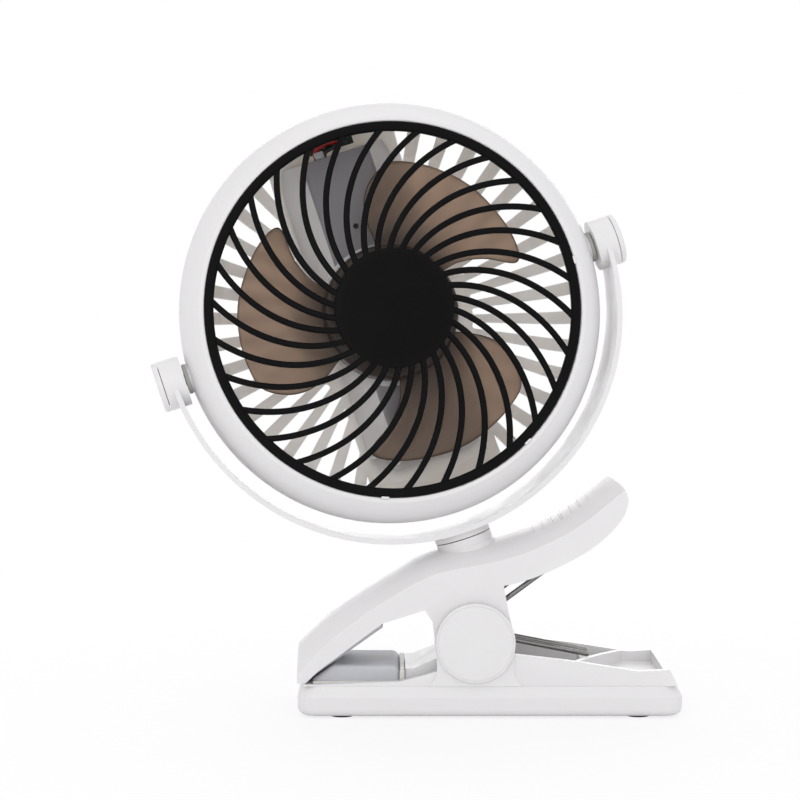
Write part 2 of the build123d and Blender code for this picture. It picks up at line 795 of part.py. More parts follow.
with BuildPart() as yoke:
    with BuildSketch(yoke_section):
        Circle(yoke_outer_radius)
        Circle(yoke_inner_radius, mode=Mode.SUBTRACT)
        with Locations((0, yoke_outer_radius)):
            Rectangle(4 * yoke_outer_radius, 2 * yoke_outer_radius, mode=Mode.SUBTRACT)
    extrude(amount=yoke_width / 2, both=True)
    # the strip narrows towards the knobs
    with BuildSketch(yoke_side.offset(-2 * yoke_outer_radius)):
        with BuildLine():
            Polyline(
                (barrel_radius - 0.3, 0),
                (yoke_width / 2, -0.5 * yoke_outer_radius),
                (yoke_width / 2, -1.1 * yoke_outer_radius),
                (-yoke_width / 2, -1.1 * yoke_outer_radius),
                (-yoke_width / 2, -0.5 * yoke_outer_radius),
                (-barrel_radius + 0.3, 0),
                close=True,
            )
        make_face()
    extrude(amount=4 * yoke_outer_radius, mode=Mode.INTERSECT)
    for side in (-1, 1):
        with BuildSketch(yoke_side.offset(side * barrel_start)):
            Circle(barrel_radius)
        extrude(amount=side * barrel_length)
        with BuildSketch(yoke_side.offset(side * pocket_start)):
            Circle(barrel_pocket_radius)
        extrude(amount=side * 2 * barrel_pocket_depth, mode=Mode.SUBTRACT)
        with BuildSketch(yoke_side.offset(side * (barrel_start - 1))):
            Circle(pivot_screw_radius + running_gap)
        extrude(amount=side * barrel_length, mode=Mode.SUBTRACT)
    neck_disc_top = Plane(origin=head_centre - neck_up * (yoke_outer_radius - yoke_thickness / 2),
                          x_dir=pivot_way, z_dir=-neck_up)
    with BuildSketch(neck_disc_top):
        Circle(neck_radius)
    extrude(amount=neck_disc_height + yoke_thickness / 2)
    with BuildSketch(neck_disc_top):
        Circle(neck_stud_radius)
    extrude(amount=neck_disc_height + yoke_thickness / 2 + neck_stud_length)
    with BuildSketch(Plane(origin=head_centre - neck_up * neck_screw_seat, x_dir=pivot_way, z_dir=neck_up)):
        Circle(neck_screw_radius + press_gap)
    extrude(amount=neck_screw_length + 1, mode=Mode.SUBTRACT)
save(yoke.part, "yoke")

with BuildPart() as neck_washer:
    with BuildSketch(Plane(origin=head_centre - neck_up * neck_screw_seat, x_dir=pivot_way, z_dir=-neck_up)):
        Circle(neck_washer_radius)
        Circle(neck_screw_radius + press_gap, mode=Mode.SUBTRACT)
    extrude(amount=neck_washer_thickness)
save(neck_washer.part, "neck_washer")

with BuildPart() as neck_screw:
    screw_face = Plane(origin=head_centre - neck_up * (neck_screw_seat + neck_washer_thickness),
                       x_dir=pivot_way, z_dir=neck_up)
    with BuildSketch(screw_face):
        Circle(neck_screw_radius)
    extrude(amount=neck_screw_length)
    with BuildSketch(screw_face):
        Circle(neck_screw_head_radius)
    extrude(amount=-neck_screw_head_height)
    with BuildSketch(screw_face.offset(-neck_screw_head_height)):
        Rectangle(neck_screw_head_radius * 1.3, neck_screw_head_radius * 0.28)
        Rectangle(neck_screw_head_radius * 0.28, neck_screw_head_radius * 1.3)
    extrude(amount=neck_screw_head_height / 2, mode=Mode.SUBTRACT)
save(neck_screw.part, "neck_screw")

for side, name in ((-1, "knob_cap_left"), (1, "knob_cap_right")):
    with BuildPart() as knob_cap:
        with BuildSketch(yoke_side.offset(side * (barrel_end + knob_cap_seam))):
            Circle(barrel_radius)
        extrude(amount=side * knob_cap_thickness)
        fillet(knob_cap.edges().filter_by(GeomType.CIRCLE).sort_by(pivot_axis)[-1 if side > 0 else 0],
               knob_cap_thickness / 2)
        with BuildSketch(yoke_side.offset(side * (barrel_end + knob_cap_seam))):
            Circle(barrel_pocket_radius - press_gap)
            Circle(barrel_pocket_radius - press_gap - knob_plug_wall, mode=Mode.SUBTRACT)
        extrude(amount=-side * (knob_plug_length + knob_cap_seam))
    save(knob_cap.part, name)

# ================================================================ head shell
mouth_radius = ring_outer_radius + press_gap
rim_radius = mouth_radius + rim_width
ring_inner_radius = ring_outer_radius - ring_width
ledge_inner_radius = mouth_radius - ledge_reach
boss_face = head_radius + boss_proud


def swell_radius(end_radius, drop):
    """Radius of an arc that leaves the widest circle straight back and ends at end_radius."""
    step = head_radius - end_radius
    return (step ** 2 + drop ** 2) / (2 * step)


def swell_point(arc_radius, inset, drop, direction, start):
    """Point on that arc, or on one inside it by inset, at a distance drop from its start."""
    reach = head_radius - arc_radius + math.sqrt((arc_radius - inset) ** 2 - drop ** 2)
    return (reach, start + direction * drop)


bezel_arc = swell_radius(rim_radius, mouth_front - bezel_round_start)
bezel_drop = mouth_front - bezel_round_start
inner_drop = ledge_depth - ledge_thickness - bezel_round_start

with BuildPart() as bezel:
    with BuildSketch(head_section):
        with BuildLine():
            Line((mouth_radius, mouth_front), (rim_radius, mouth_front))
            ThreePointArc(
                (rim_radius, mouth_front),
                swell_point(bezel_arc, 0, bezel_drop / 2, 1, bezel_round_start),
                (head_radius, bezel_round_start),
            )
            Line((head_radius, bezel_round_start), (head_radius, seam_depth))
            Line((head_radius, seam_depth), (head_radius - shell_wall, seam_depth))
            Line((head_radius - shell_wall, seam_depth), (head_radius - shell_wall, bezel_round_start))
            inner_end = swell_point(bezel_arc, shell_wall, inner_drop, 1, bezel_round_start)
            ThreePointArc(
                (head_radius - shell_wall, bezel_round_start),
                swell_point(bezel_arc, shell_wall, inner_drop / 2, 1, bezel_round_start),
                inner_end,
            )
            Line(inner_end, (ledge_inner_radius, inner_end[1]))
            Line((ledge_inner_radius, inner_end[1]), (ledge_inner_radius, ledge_depth))
            Line((ledge_inner_radius, ledge_depth), (mouth_radius, ledge_depth))
            Line((mouth_radius, ledge_depth), (mouth_radius, mouth_front))
        make_face()
    revolve(axis=head_axis)
    fillet(bezel.edges().group_by(head_axis)[-1], rim_round)
    for side in (-1, 1):
        with BuildSketch(yoke_side.offset(side * (head_radius - boss_depth))):
            Circle(boss_radius)
        extrude(amount=side * (boss_depth + boss_proud))
        with BuildSketch(yoke_side.offset(side * (head_radius - boss_depth))):
            Circle(pivot_screw_radius + press_gap)
        extrude(amount=side * 2 * boss_depth, mode=Mode.SUBTRACT)
save(bezel.part, "bezel")

for side, name in ((-1, "spacer_left"), (1, "spacer_right")):
    with BuildPart() as spacer:
        with BuildSketch(yoke_side.offset(side * boss_face)):
            Circle(spacer_radius)
            Circle(pivot_screw_radius + press_gap, mode=Mode.SUBTRACT)
        extrude(amount=side * (barrel_start - loose_gap - boss_face))
    save(spacer.part, name)

with BuildPart() as pivot_screws:
    for side in (-1, 1):
        head_seat = pocket_start + loose_gap
        with BuildSketch(yoke_side.offset(side * (head_radius - boss_depth + loose_gap))):
            Circle(pivot_screw_radius)
        extrude(amount=side * (head_seat - head_radius + boss_depth))
        with BuildSketch(yoke_side.offset(side * head_seat)):
            Circle(pivot_screw_head_radius)
        extrude(amount=side * pivot_screw_head_height)
save(pivot_screws.part, "pivot_screws")

# ---------------------------------------------------------------- front grille
ring_front = ledge_depth + ring_depth
rib_front = ring_front - 0.5


def dome_depth(radius):
    """How far forward the ribs' front stands at a radius."""
    return rib_front + grille_rise * (1 - (radius / ring_inner_radius) ** 2)


def rib_point(radius, edge):
    """Point on one edge of a rib: the rib turns steadily as it runs outwards."""
    slant = math.radians(rib_twist) * radius
    half_angle = math.degrees(rib_width / 2 / radius * math.sqrt(1 + slant ** 2))
    return polar(radius, rib_phase - rib_twist * (radius - hub_disc_radius) + edge * half_angle)


rib_ends = (hub_disc_radius - 1.5, ring_inner_radius + 0.8)
rib_stations = [rib_ends[0] + (rib_ends[1] - rib_ends[0]) * step / 4 for step in range(5)]

with BuildSketch() as rib_face:
    with BuildLine():
        low_side = Spline(*[rib_point(radius, -1) for radius in rib_stations])
        high_side = Spline(*[rib_point(radius, 1) for radius in rib_stations])
        Line(low_side @ 0, high_side @ 0)
        Line(low_side @ 1, high_side @ 1)
    make_face()

with BuildPart() as rib_pattern:
    with BuildSketch(head.offset(ledge_depth - rib_depth)):
        with PolarLocations(0, rib_count):
            add(rib_face.sketch)
    extrude(amount=rib_depth + ring_depth + 2 * grille_rise)

with BuildPart() as front_grille:
    with BuildSketch(head_section):
        with BuildLine():
            dome_stops = (rib_ends[0], (rib_ends[0] + rib_ends[1]) / 2, rib_ends[1])
            front_line = ThreePointArc(*[(radius, dome_depth(radius)) for radius in dome_stops])
            back_line = ThreePointArc(*[(radius, dome_depth(radius) - rib_depth) for radius in dome_stops])
            Line(front_line @ 0, back_line @ 0)
            Line(front_line @ 1, back_line @ 1)
        make_face()
    revolve(axis=head_axis)
    add(rib_pattern.part, mode=Mode.INTERSECT)
    with BuildSketch(head.offset(ledge_depth)):
        Circle(ring_outer_radius)
        Circle(ring_inner_radius, mode=Mode.SUBTRACT)
    extrude(amount=ring_depth)
    with BuildSketch(head_section):
        with BuildLine():
            disc_edge = dome_depth(hub_disc_radius) + 0.2
            disc_crown = disc_edge + hub_disc_rise
            disc_back = disc_edge + 0.3 - hub_disc_thickness
            disc_middle = (hub_disc_radius / 2, disc_edge + 0.8 * hub_disc_rise)
            ThreePointArc((0, disc_crown), disc_middle, (hub_disc_radius, disc_edge))
            Line((hub_disc_radius, disc_edge), (hub_disc_radius, disc_back))
            Line((hub_disc_radius, disc_back), (0, disc_back))
            Line((0, disc_back), (0, disc_crown))
        make_face()
    revolve(axis=head_axis)
save(front_grille.part, "front_grille")

# ---------------------------------------------------------------- rear shell
rear_arc = swell_radius(rear_flat_radius, seam_depth - rear_depth)
rear_inner_drop = seam_depth - rear_depth - shell_wall
rear_inner_flat = swell_point(rear_arc, shell_wall, rear_inner_drop, -1, seam_depth)
opening_half = cover_half - cover_side_inset - 0.4
opening_low = cover_low + cover_end_inset + 1.0
opening_high = cover_high - cover_end_inset - 1.0
cover_screw_spots = [
    (x, y) for x in (-cover_screw_x, cover_screw_x)
    for y in (cover_low + cover_end_inset / 2, cover_high - cover_end_inset / 2)
]

with BuildSketch() as slot_face:
    with BuildLine():
        Polyline(
            polar(slot_inner, -slot_inner_spread),
            polar(slot_outer, -slot_outer_spread),
            polar(slot_outer, slot_outer_spread),
            polar(slot_inner, slot_inner_spread),
            close=True,
        )
    make_face()
    slot_corners = slot_face.vertices().sort_by(Axis.X)
    fillet(slot_corners[:2], slot_inner_round)
    fillet(slot_face.vertices().sort_by(Axis.X)[-2:], slot_outer_round)

with BuildPart() as rear_shell:
    with BuildSketch(head_section):
        with BuildLine():
            Line((head_radius, seam_depth), (head_radius - shell_wall, seam_depth))
            ThreePointArc(
                (head_radius - shell_wall, seam_depth),
                swell_point(rear_arc, shell_wall, rear_inner_drop / 2, -1, seam_depth),
                rear_inner_flat,
            )
            Line(rear_inner_flat, (0, rear_inner_flat[1]))
            Line((0, rear_inner_flat[1]), (0, rear_depth))
            Line((0, rear_depth), (rear_flat_radius, rear_depth))
            ThreePointArc(
                (rear_flat_radius, rear_depth),
                swell_point(rear_arc, 0, (seam_depth - rear_depth) / 2, -1, seam_depth),
                (head_radius, seam_depth),
            )
        make_face()
    revolve(axis=head_axis)
    # raised crown over the charging port
    with BuildSketch(head.offset(seam_depth)):
        Circle(head_radius + crown_rise)
        Circle(head_radius - 2 * shell_wall, mode=Mode.SUBTRACT)
        with Locations((0, head_radius)):
            Rectangle(2 * crown_half, head_radius, mode=Mode.INTERSECT)
    extrude(amount=crown_back - seam_depth)
    with BuildSketch(head.offset(seam_depth)):
        Circle(head_radius - shell_wall)
    extrude(amount=-2 * shell_wall, mode=Mode.SUBTRACT)
    with BuildSketch(head.offset(crown_back - 1)):
        with Locations((0, crown_notch_floor + shell_wall)):
            Rectangle(2 * crown_notch_half, 2 * shell_wall)
    extrude(amount=seam_depth - crown_back + 1, mode=Mode.SUBTRACT)
    with BuildSketch(head.offset(port_depth - port_height / 2 - loose_gap)):
        with Locations((0, head_radius)):
            RectangleRounded(port_width + 2 * loose_gap, 8 * shell_wall, 0.2)
    extrude(amount=port_height + 2 * loose_gap, mode=Mode.SUBTRACT)
    # radial slots, kept clear of the upright housing
    with BuildSketch(head.offset(rear_depth - 1)):
        with PolarLocations(0, slot_count, start_angle=180 / slot_count):
            add(slot_face.sketch)
        Rectangle(2 * strip_half, 3 * slot_outer, mode=Mode.SUBTRACT)
    extrude(amount=slot_outer / 4, mode=Mode.SUBTRACT)
    # opening behind the cell, and bosses for the cover's screws
    with BuildSketch(head.offset(rear_depth)):
        with Locations((0, (opening_low + opening_high) / 2)):
            Rectangle(2 * opening_half, opening_high - opening_low)
    extrude(amount=shell_wall, mode=Mode.SUBTRACT)
    with BuildSketch(head.offset(rear_depth)):
        with Locations(*cover_screw_spots):
            Circle(cover_screw_radius + screw_boss_wall)
    extrude(amount=cover_screw_length)
    with BuildSketch(head.offset(rear_depth)):
        with Locations(*cover_screw_spots):
            Circle(cover_screw_radius + press_gap)
    extrude(amount=cover_screw_length, mode=Mode.SUBTRACT)
save(rear_shell.part, "rear_shell")

# ---------------------------------------------------------------- housing for the cell and the board
housing_back = rear_inner_flat[1]
housing_outside = [
    (housing_back, housing_base_half, housing_low, housing_high),
    (housing_front, housing_front_half, housing_low + housing_end_slope, housing_high - housing_end_slope),
]
housing_inside = [
    (housing_back, housing_base_half - housing_wall, housing_low + housing_wall, housing_high - housing_wall),
    (housing_front - housing_wall, housing_front_half - 0.4 * housing_wall,
     housing_low + housing_end_slope + housing_wall, housing_high - housing_end_slope - housing_wall),
]


def bowl_outline(shift):
    """Start, middle and end of the shell's hollow in section, kept off its curved wall and moved inwards."""
    drop = seam_depth - housing_back
    inset = shell_wall + loose_gap
    outline = [swell_point(rear_arc, inset, step * drop, -1, seam_depth) for step in (0, 0.5, 1)]
    return [(reach - shift, depth) for reach, depth in outline]


lead_spots = [(-6.5, housing_high), (-3.4, housing_high)]
board_post_reach = board_high - board_low - 4 * board_post_radius
lead_depth = board_front + lead_radius + 0.05
motor_screw_spots = [(0, -motor_screw_reach), (0, motor_screw_reach)]

housing_forms = []
for stations, shift in ((housing_outside, 0), (housing_inside, housing_wall)):
    with BuildPart() as housing_form:
        for depth, half, low, high in stations:
            with BuildSketch(head.offset(depth)):
                with Locations((0, (low + high) / 2)):
                    Rectangle(2 * half, high - low)
        loft()
        if shift == 0:
            long_edges = housing_form.edges().group_by(head_axis)[-1].sort_by(SortBy.LENGTH)[-2:]
            fillet(long_edges, housing_edge_round)
        wide, middle, narrow = bowl_outline(shift)
        with BuildSketch(head_section):
            with BuildLine():
                ThreePointArc(wide, middle, narrow)
                Line(narrow, (0, narrow[1]))
                Line((0, narrow[1]), (0, 0))
                Line((0, 0), (wide[0], 0))
                Line((wide[0], 0), wide)
            make_face()
        revolve(axis=head_axis, mode=Mode.INTERSECT)
    housing_forms.append(housing_form.part)

with BuildPart() as core_housing:
    add(housing_forms[0])
    add(housing_forms[1], mode=Mode.SUBTRACT)
    with BuildSketch(head.offset(board_front)):
        with Locations((0, (board_low + board_high) / 2)):
            with GridLocations(2 * (board_half - board_post_radius), board_post_reach, 2, 2):
                Circle(board_post_radius)
    extrude(amount=housing_front - housing_wall / 2 - board_front)
    with BuildSketch(head.offset(housing_front)):
        with Locations(*motor_screw_spots):
            Circle(motor_screw_radius + press_gap)
    extrude(amount=-2 * housing_wall, mode=Mode.SUBTRACT)
    for x, y in lead_spots:
        hole_plane = Plane(origin=head_point(x, y - 6, lead_depth), x_dir=head.x_dir, z_dir=head.y_dir)
        with BuildSketch(hole_plane):
            Circle(lead_radius + 0.15)
        extrude(amount=10, mode=Mode.SUBTRACT)
save(core_housing.part, "core_housing")

cover_back = rear_depth - cover_flange - cover_hump
hump_length = cover_high - cover_low - 2 * cover_end_inset

with BuildPart() as rear_cover:
    with BuildSketch(head.offset(rear_depth)):
        with Locations((0, (cover_low + cover_high) / 2)):
            RectangleRounded(2 * cover_half, cover_high - cover_low, cover_corner)
    extrude(amount=-cover_flange)
    fillet(rear_cover.edges().group_by(head_axis)[0], cover_round)
    with BuildSketch(head.offset(rear_depth - cover_flange)):
        with Locations((0, (cover_low + cover_high) / 2)):
            RectangleRounded(2 * (cover_half - cover_side_inset), hump_length, cover_corner)
    extrude(amount=-cover_hump, taper=18)
    fillet(rear_cover.edges().group_by(head_axis)[0], cover_hump / 4)
    with BuildSketch(head.offset(rear_depth)):
        with Locations((0, (cover_low + cover_high) / 2)):
            RectangleRounded(2 * (cover_half - cover_side_inset - cover_wall), hump_length - 2 * cover_wall,
                             cover_corner - cover_wall)
    extrude(amount=-(cover_flange + cover_hump - cover_wall), taper=14, mode=Mode.SUBTRACT)
    with BuildSketch(head.offset(cover_back)):
        with Locations((0, button_y)):
            Circle(button_radius + loose_gap)
        with Locations((0, lamp_y)):
            Circle(lamp_radius + press_gap)
    extrude(amount=2 * cover_wall, mode=Mode.SUBTRACT)
    with BuildSketch(head.offset(rear_depth - 2 * cover_flange)):
        with Locations(*cover_screw_spots):
            Circle(cover_screw_radius + press_gap)
    extrude(amount=2 * cover_flange, mode=Mode.SUBTRACT)
save(rear_cover.part, "rear_cover")

with BuildPart() as cover_screws:
    screw_seat = rear_depth - cover_flange
    with BuildSketch(head.offset(screw_seat)):
        with Locations(*cover_screw_spots):
            Circle(cover_screw_radius)
    extrude(amount=cover_screw_length)
    with BuildSketch(head.offset(screw_seat)):
        with Locations(*cover_screw_spots):
            Circle(cover_screw_head_radius)
    extrude(amount=-cover_screw_head_height)
    with BuildSketch(head.offset(screw_seat - cover_screw_head_height)):
        with Locations(*cover_screw_spots):
            Rectangle(cover_screw_head_radius * 1.3, cover_screw_head_radius * 0.3)
            Rectangle(cover_screw_head_radius * 0.3, cover_screw_head_radius * 1.3)
    extrude(amount=cover_screw_head_height / 2, mode=Mode.SUBTRACT)
save(cover_screws.part, "cover_screws")

cover_inside = cover_back + cover_wall
board_back = board_front - board_thickness
switch_back = board_back - switch_height

with BuildPart() as power_button:
    with BuildSketch(head.offset(cover_back - button_proud)):
        with Locations((0, button_y)):
            Circle(button_radius)
    extrude(amount=cover_wall + button_proud + loose_gap)
    chamfer(power_button.edges().group_by(head_axis)[0], button_proud / 2)
    with BuildSketch(head.offset(cover_inside + loose_gap)):
        with Locations((0, button_y)):
            Circle(button_flange_radius)
    extrude(amount=button_flange_thickness)
    with BuildSketch(head.offset(cover_inside + loose_gap)):
        with Locations((0, button_y)):
            Circle(button_stem_radius)
    extrude(amount=switch_back - button_travel - cover_inside - loose_gap)
save(power_button.part, "power_button")

with BuildPart() as indicator_light:
    with BuildSketch(head.offset(cover_back - 0.2)):
        with Locations((0, lamp_y)):
            Circle(lamp_radius)
    extrude(amount=cover_wall + 0.6)
    chamfer(indicator_light.edges().group_by(head_axis)[0], 0.15)
save(indicator_light.part, "indicator_light")

with BuildPart() as battery_cell:
    with BuildSketch(Plane(origin=head_point(0, cell_low, cell_depth), x_dir=head.x_dir, z_dir=head.y_dir)):
        Circle(cell_radius)
    extrude(amount=cell_length)
    fillet(battery_cell.edges().filter_by(GeomType.CIRCLE), cell_radius / 10)
save(battery_cell.part, "battery_cell")

with BuildPart() as control_board:
    with BuildSketch(head.offset(board_back)):
        with Locations((0, (board_low + board_high) / 2)):
            Rectangle(2 * board_half, board_high - board_low)
    extrude(amount=board_thickness)
save(control_board.part, "control_board")

with BuildPart() as tact_switch:
    with BuildSketch(head.offset(board_back)):
        with Locations((0, button_y)):
            Rectangle(switch_size, switch_size)
    extrude(amount=-switch_height * 0.7)
    with BuildSketch(head.offset(board_back)):
        with Locations((0, button_y)):
            Circle(switch_size / 4)
    extrude(amount=-switch_height)
save(tact_switch.part, "tact_switch")

port_board_front = port_depth - port_height / 2

with BuildPart() as port_board:
    with BuildSketch(head.offset(port_board_front - port_board_thickness)):
        with Locations((0, (port_board_low + port_board_high) / 2)):
            Rectangle(2 * port_board_half, port_board_high - port_board_low)
    extrude(amount=port_board_thickness)
save(port_board.part, "port_board")

with BuildPart() as charging_port:
    with BuildSketch(head.offset(port_board_front)):
        with Locations((0, (port_low + port_high) / 2)):
            Rectangle(port_width, port_high - port_low)
    extrude(amount=port_height)
    with BuildSketch(head.offset(port_board_front + port_wall)):
        with Locations((0, (port_low + port_high) / 2 + 2 * port_wall)):
            Rectangle(port_width - 2 * port_wall, port_high - port_low)
    extrude(amount=port_height - 2 * port_wall, mode=Mode.SUBTRACT)
    with BuildSketch(head.offset(port_depth - port_tongue / 2)):
        with Locations((0, (port_low + port_high) / 2)):
            Rectangle(port_width - 8 * port_wall, port_high - port_low - 2 * port_wall)
    extrude(amount=port_tongue)
save(charging_port.part, "charging_port")

# leads from the control board to the charging port's board, over the top of the housing
landing = port_board_front + lead_radius + 0.05
lead_routes = {
    "lead_red": ([(-6.5, 50.5, lead_depth), (-6.5, 62.3, lead_depth), (-1.5, 63.6, lead_depth + 2.4),
                  (2.6, 62.95, landing)], (2.2, 1.8)),
    "lead_black": ([(-3.4, 50.5, lead_depth), (-3.4, 60.9, lead_depth), (1.6, 61.7, lead_depth + 2.0),
                    (6.4, 62.4, landing)], (2.0, 1.8)),
}
for name, (route, bends) in lead_routes.items():
    with BuildPart() as lead:
        with BuildLine() as lead_line:
            FilletPolyline(*[head_point(*spot) for spot in route], radius=list(bends))
        lead_wire = lead_line.wire()
        with BuildSketch(Plane(origin=lead_wire @ 0, z_dir=lead_wire % 0)):
            Circle(lead_radius)
        sweep(path=lead_wire)
    save(lead.part, name)

# ================================================================ motor and propeller
with BuildPart() as motor_mount:
    with BuildSketch(head.offset(housing_front)):
        Circle(mount_radius)
        Circle(motor_radius + press_gap, mode=Mode.SUBTRACT)
        with Locations(*motor_screw_spots):
            Circle(motor_screw_radius + press_gap, mode=Mode.SUBTRACT)
    extrude(amount=mount_thickness)
    with BuildSketch(head.offset(housing_front)):
        Circle(motor_radius + press_gap + mount_collar_wall)
        Circle(motor_radius + press_gap, mode=Mode.SUBTRACT)
    extrude(amount=mount_thickness + mount_collar_height)
save(motor_mount.part, "motor_mount")

with BuildPart() as motor_screws:
    with BuildSketch(head.offset(housing_front + mount_thickness)):
        with Locations(*motor_screw_spots):
            Circle(motor_screw_radius)
    extrude(amount=-(mount_thickness + housing_wall))
    with BuildSketch(head.offset(housing_front + mount_thickness)):
        with Locations(*motor_screw_spots):
            Circle(motor_screw_head_radius)
    extrude(amount=motor_screw_head_height)
save(motor_screws.part, "motor_screws")

with BuildPart() as motor_can:
    with BuildSketch(head.offset(housing_front)):
        Circle(motor_radius)
    extrude(amount=motor_front - housing_front)
    fillet(motor_can.edges().group_by(head_axis)[-1], motor_radius / 10)
    with BuildSketch(head.offset(motor_front)):
        Circle(motor_nose_radius)
    extrude(amount=motor_nose)
    with BuildSketch(head.offset(housing_front)):
        Circle(shaft_radius + running_gap)
    extrude(amount=motor_front + motor_nose - housing_front, mode=Mode.SUBTRACT)
save(motor_can.part, "motor_can")

with BuildPart() as motor_shaft:
    with BuildSketch(head.offset(housing_front + loose_gap)):
        Circle(shaft_radius)
    extrude(amount=shaft_front - housing_front - loose_gap)
save(motor_shaft.part, "motor_shaft")

blade_outline = [
    polar(prop_hub_radius - 0.8, -24.0),
    polar(0.56 * blade_tip_radius, -27.0),
    polar(0.72 * blade_tip_radius, -33.5),
    polar(0.87 * blade_tip_radius, -41.5),
    polar(0.95 * blade_tip_radius, -39.0),
    polar(0.98 * blade_tip_radius, -20.0),
    polar(blade_tip_radius, 6.0),
    polar(0.99 * blade_tip_radius, 25.0),
    polar(0.88 * blade_tip_radius, 34.5),
    polar(0.70 * blade_tip_radius, 41.0),
    polar(0.52 * blade_tip_radius, 40.5),
    polar(prop_hub_radius - 0.8, 37.0),
]
blade_stations = [share * blade_tip_radius for share in (0.38, 0.58, 0.80, 1.08)]
blade_way = head.x_dir.rotate(Axis((0, 0, 0), facing), blade_phase)
blade_across = head.y_dir.rotate(Axis((0, 0, 0), facing), blade_phase)
blade_base = Plane(origin=head_centre - facing * 3 * blade_pitch_reach, x_dir=blade_way, z_dir=facing)

with BuildPart() as blade:
    for station in blade_stations:
        lean = math.atan2(blade_pitch_reach, station)
        chord_way = blade_across * math.cos(lean) + head.z_dir * math.sin(lean)
        with BuildSketch(Plane(origin=head_centre + blade_way * station, x_dir=chord_way, z_dir=blade_way)):
            Rectangle(2.4 * station, blade_thickness)
    loft(ruled=True)
    with BuildSketch(blade_base):
        with BuildLine():
            rim_curve = Spline(*blade_outline)
            Line(rim_curve @ 1, rim_curve @ 0)
        make_face()
    extrude(amount=6 * blade_pitch_reach, mode=Mode.INTERSECT)

with BuildPart() as propeller:
    with BuildSketch(head.offset(prop_hub_back)):
        Circle(prop_hub_radius)
    extrude(amount=prop_hub_front - prop_hub_back)
    fillet(propeller.edges().group_by(head_axis)[-1], prop_hub_wall)
    for number in range(3):
        add(blade.part.rotate(head_axis, 120 * number))
    with BuildSketch(head.offset(prop_hub_back)):
        Circle(prop_hub_radius - prop_hub_wall)
    extrude(amount=prop_hub_front - prop_hub_wall - prop_hub_back, mode=Mode.SUBTRACT)
    boss_back = motor_front + motor_nose + loose_gap
    with BuildSketch(head.offset(boss_back)):
        Circle(prop_boss_radius)
    extrude(amount=prop_hub_front - prop_hub_wall / 2 - boss_back)
    with BuildSketch(head.offset(boss_back)):
        Circle(shaft_radius + press_gap)
    extrude(amount=shaft_front + loose_gap - boss_back, mode=Mode.SUBTRACT)
save(propeller.part, "propeller")
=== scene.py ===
import json
import math

import bmesh
import bpy
from mathutils import Matrix, Vector
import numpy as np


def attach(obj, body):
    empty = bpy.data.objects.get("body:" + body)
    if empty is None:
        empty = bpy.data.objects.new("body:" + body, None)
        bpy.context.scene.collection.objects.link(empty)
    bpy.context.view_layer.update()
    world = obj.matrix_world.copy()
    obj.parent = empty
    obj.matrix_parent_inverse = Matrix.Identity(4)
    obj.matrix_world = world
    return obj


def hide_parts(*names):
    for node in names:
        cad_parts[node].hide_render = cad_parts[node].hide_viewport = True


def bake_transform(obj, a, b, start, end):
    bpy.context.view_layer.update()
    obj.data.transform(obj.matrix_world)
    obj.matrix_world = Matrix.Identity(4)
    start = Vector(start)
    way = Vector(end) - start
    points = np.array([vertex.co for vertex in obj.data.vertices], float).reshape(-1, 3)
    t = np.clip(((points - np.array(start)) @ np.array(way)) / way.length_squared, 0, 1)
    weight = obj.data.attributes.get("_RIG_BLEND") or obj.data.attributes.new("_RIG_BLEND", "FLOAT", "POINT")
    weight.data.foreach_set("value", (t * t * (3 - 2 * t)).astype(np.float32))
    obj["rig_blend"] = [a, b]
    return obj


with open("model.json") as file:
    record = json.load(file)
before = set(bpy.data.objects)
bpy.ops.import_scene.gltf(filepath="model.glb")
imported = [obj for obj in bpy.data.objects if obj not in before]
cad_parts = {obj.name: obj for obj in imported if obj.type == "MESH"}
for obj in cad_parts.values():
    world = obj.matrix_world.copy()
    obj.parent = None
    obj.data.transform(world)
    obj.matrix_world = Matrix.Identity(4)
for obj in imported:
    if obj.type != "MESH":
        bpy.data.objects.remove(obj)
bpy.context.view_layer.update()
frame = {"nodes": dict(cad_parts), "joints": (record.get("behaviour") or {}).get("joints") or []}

mm = 0.001

# where the groups stand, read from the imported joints
joints = {joint["name"]: joint for joint in frame["joints"]}
spinWay = Vector(joints["fan_spin"]["axis"]).normalized()
pivotWay = Vector(joints["head_tilt"]["axis"]).normalized()
headCentre = Vector(joints["fan_spin"]["pos_m"])
hingePoint = Vector(joints["clip_hinge"]["pos_m"])


def placedFrame(origin, xWay, yWay, zWay):
    # millimetres in a local frame to metres in the shared one
    turn = Matrix((xWay, yWay, zWay)).transposed().to_4x4()
    return Matrix.Translation(origin) @ turn @ Matrix.Diagonal((mm, mm, mm, 1))


headFrame = placedFrame(headCentre, pivotWay, spinWay.cross(pivotWay), spinWay)
clipFrame = Matrix.Diagonal((mm, mm, mm, 1))

# camera
camera = {"place": (-0.0325, -0.876, 0.1534), "lens": 114.9, "sensor": 36.0, "down": 3.15, "right": 0.14}
cameraData = bpy.data.cameras.new("camera")
cameraData.lens = camera["lens"]
cameraData.sensor_width = camera["sensor"]
cameraObject = bpy.data.objects.new("camera", cameraData)
cameraObject.location = camera["place"]
cameraObject.rotation_euler = (math.radians(90 - camera["down"]), 0, math.radians(-camera["right"]))
bpy.context.scene.collection.objects.link(cameraObject)
bpy.context.scene.camera = cameraObject
print("camera is up")

# shader groups


def addInputs(tree, sizes):
    # one input for each size, its kind taken from the value; a colour has four numbers and a vector three
    kinds = {float: "Float", int: "Int", bpy.types.Material: "Material"}
    for socketName, value in sizes.items():
        kind = {4: "Color", 3: "Vector"}[len(value)] if isinstance(value, tuple) else kinds[type(value)]
        socket = tree.interface.new_socket(socketName, in_out="INPUT", socket_type="NodeSocket" + kind)
        socket.default_value = value


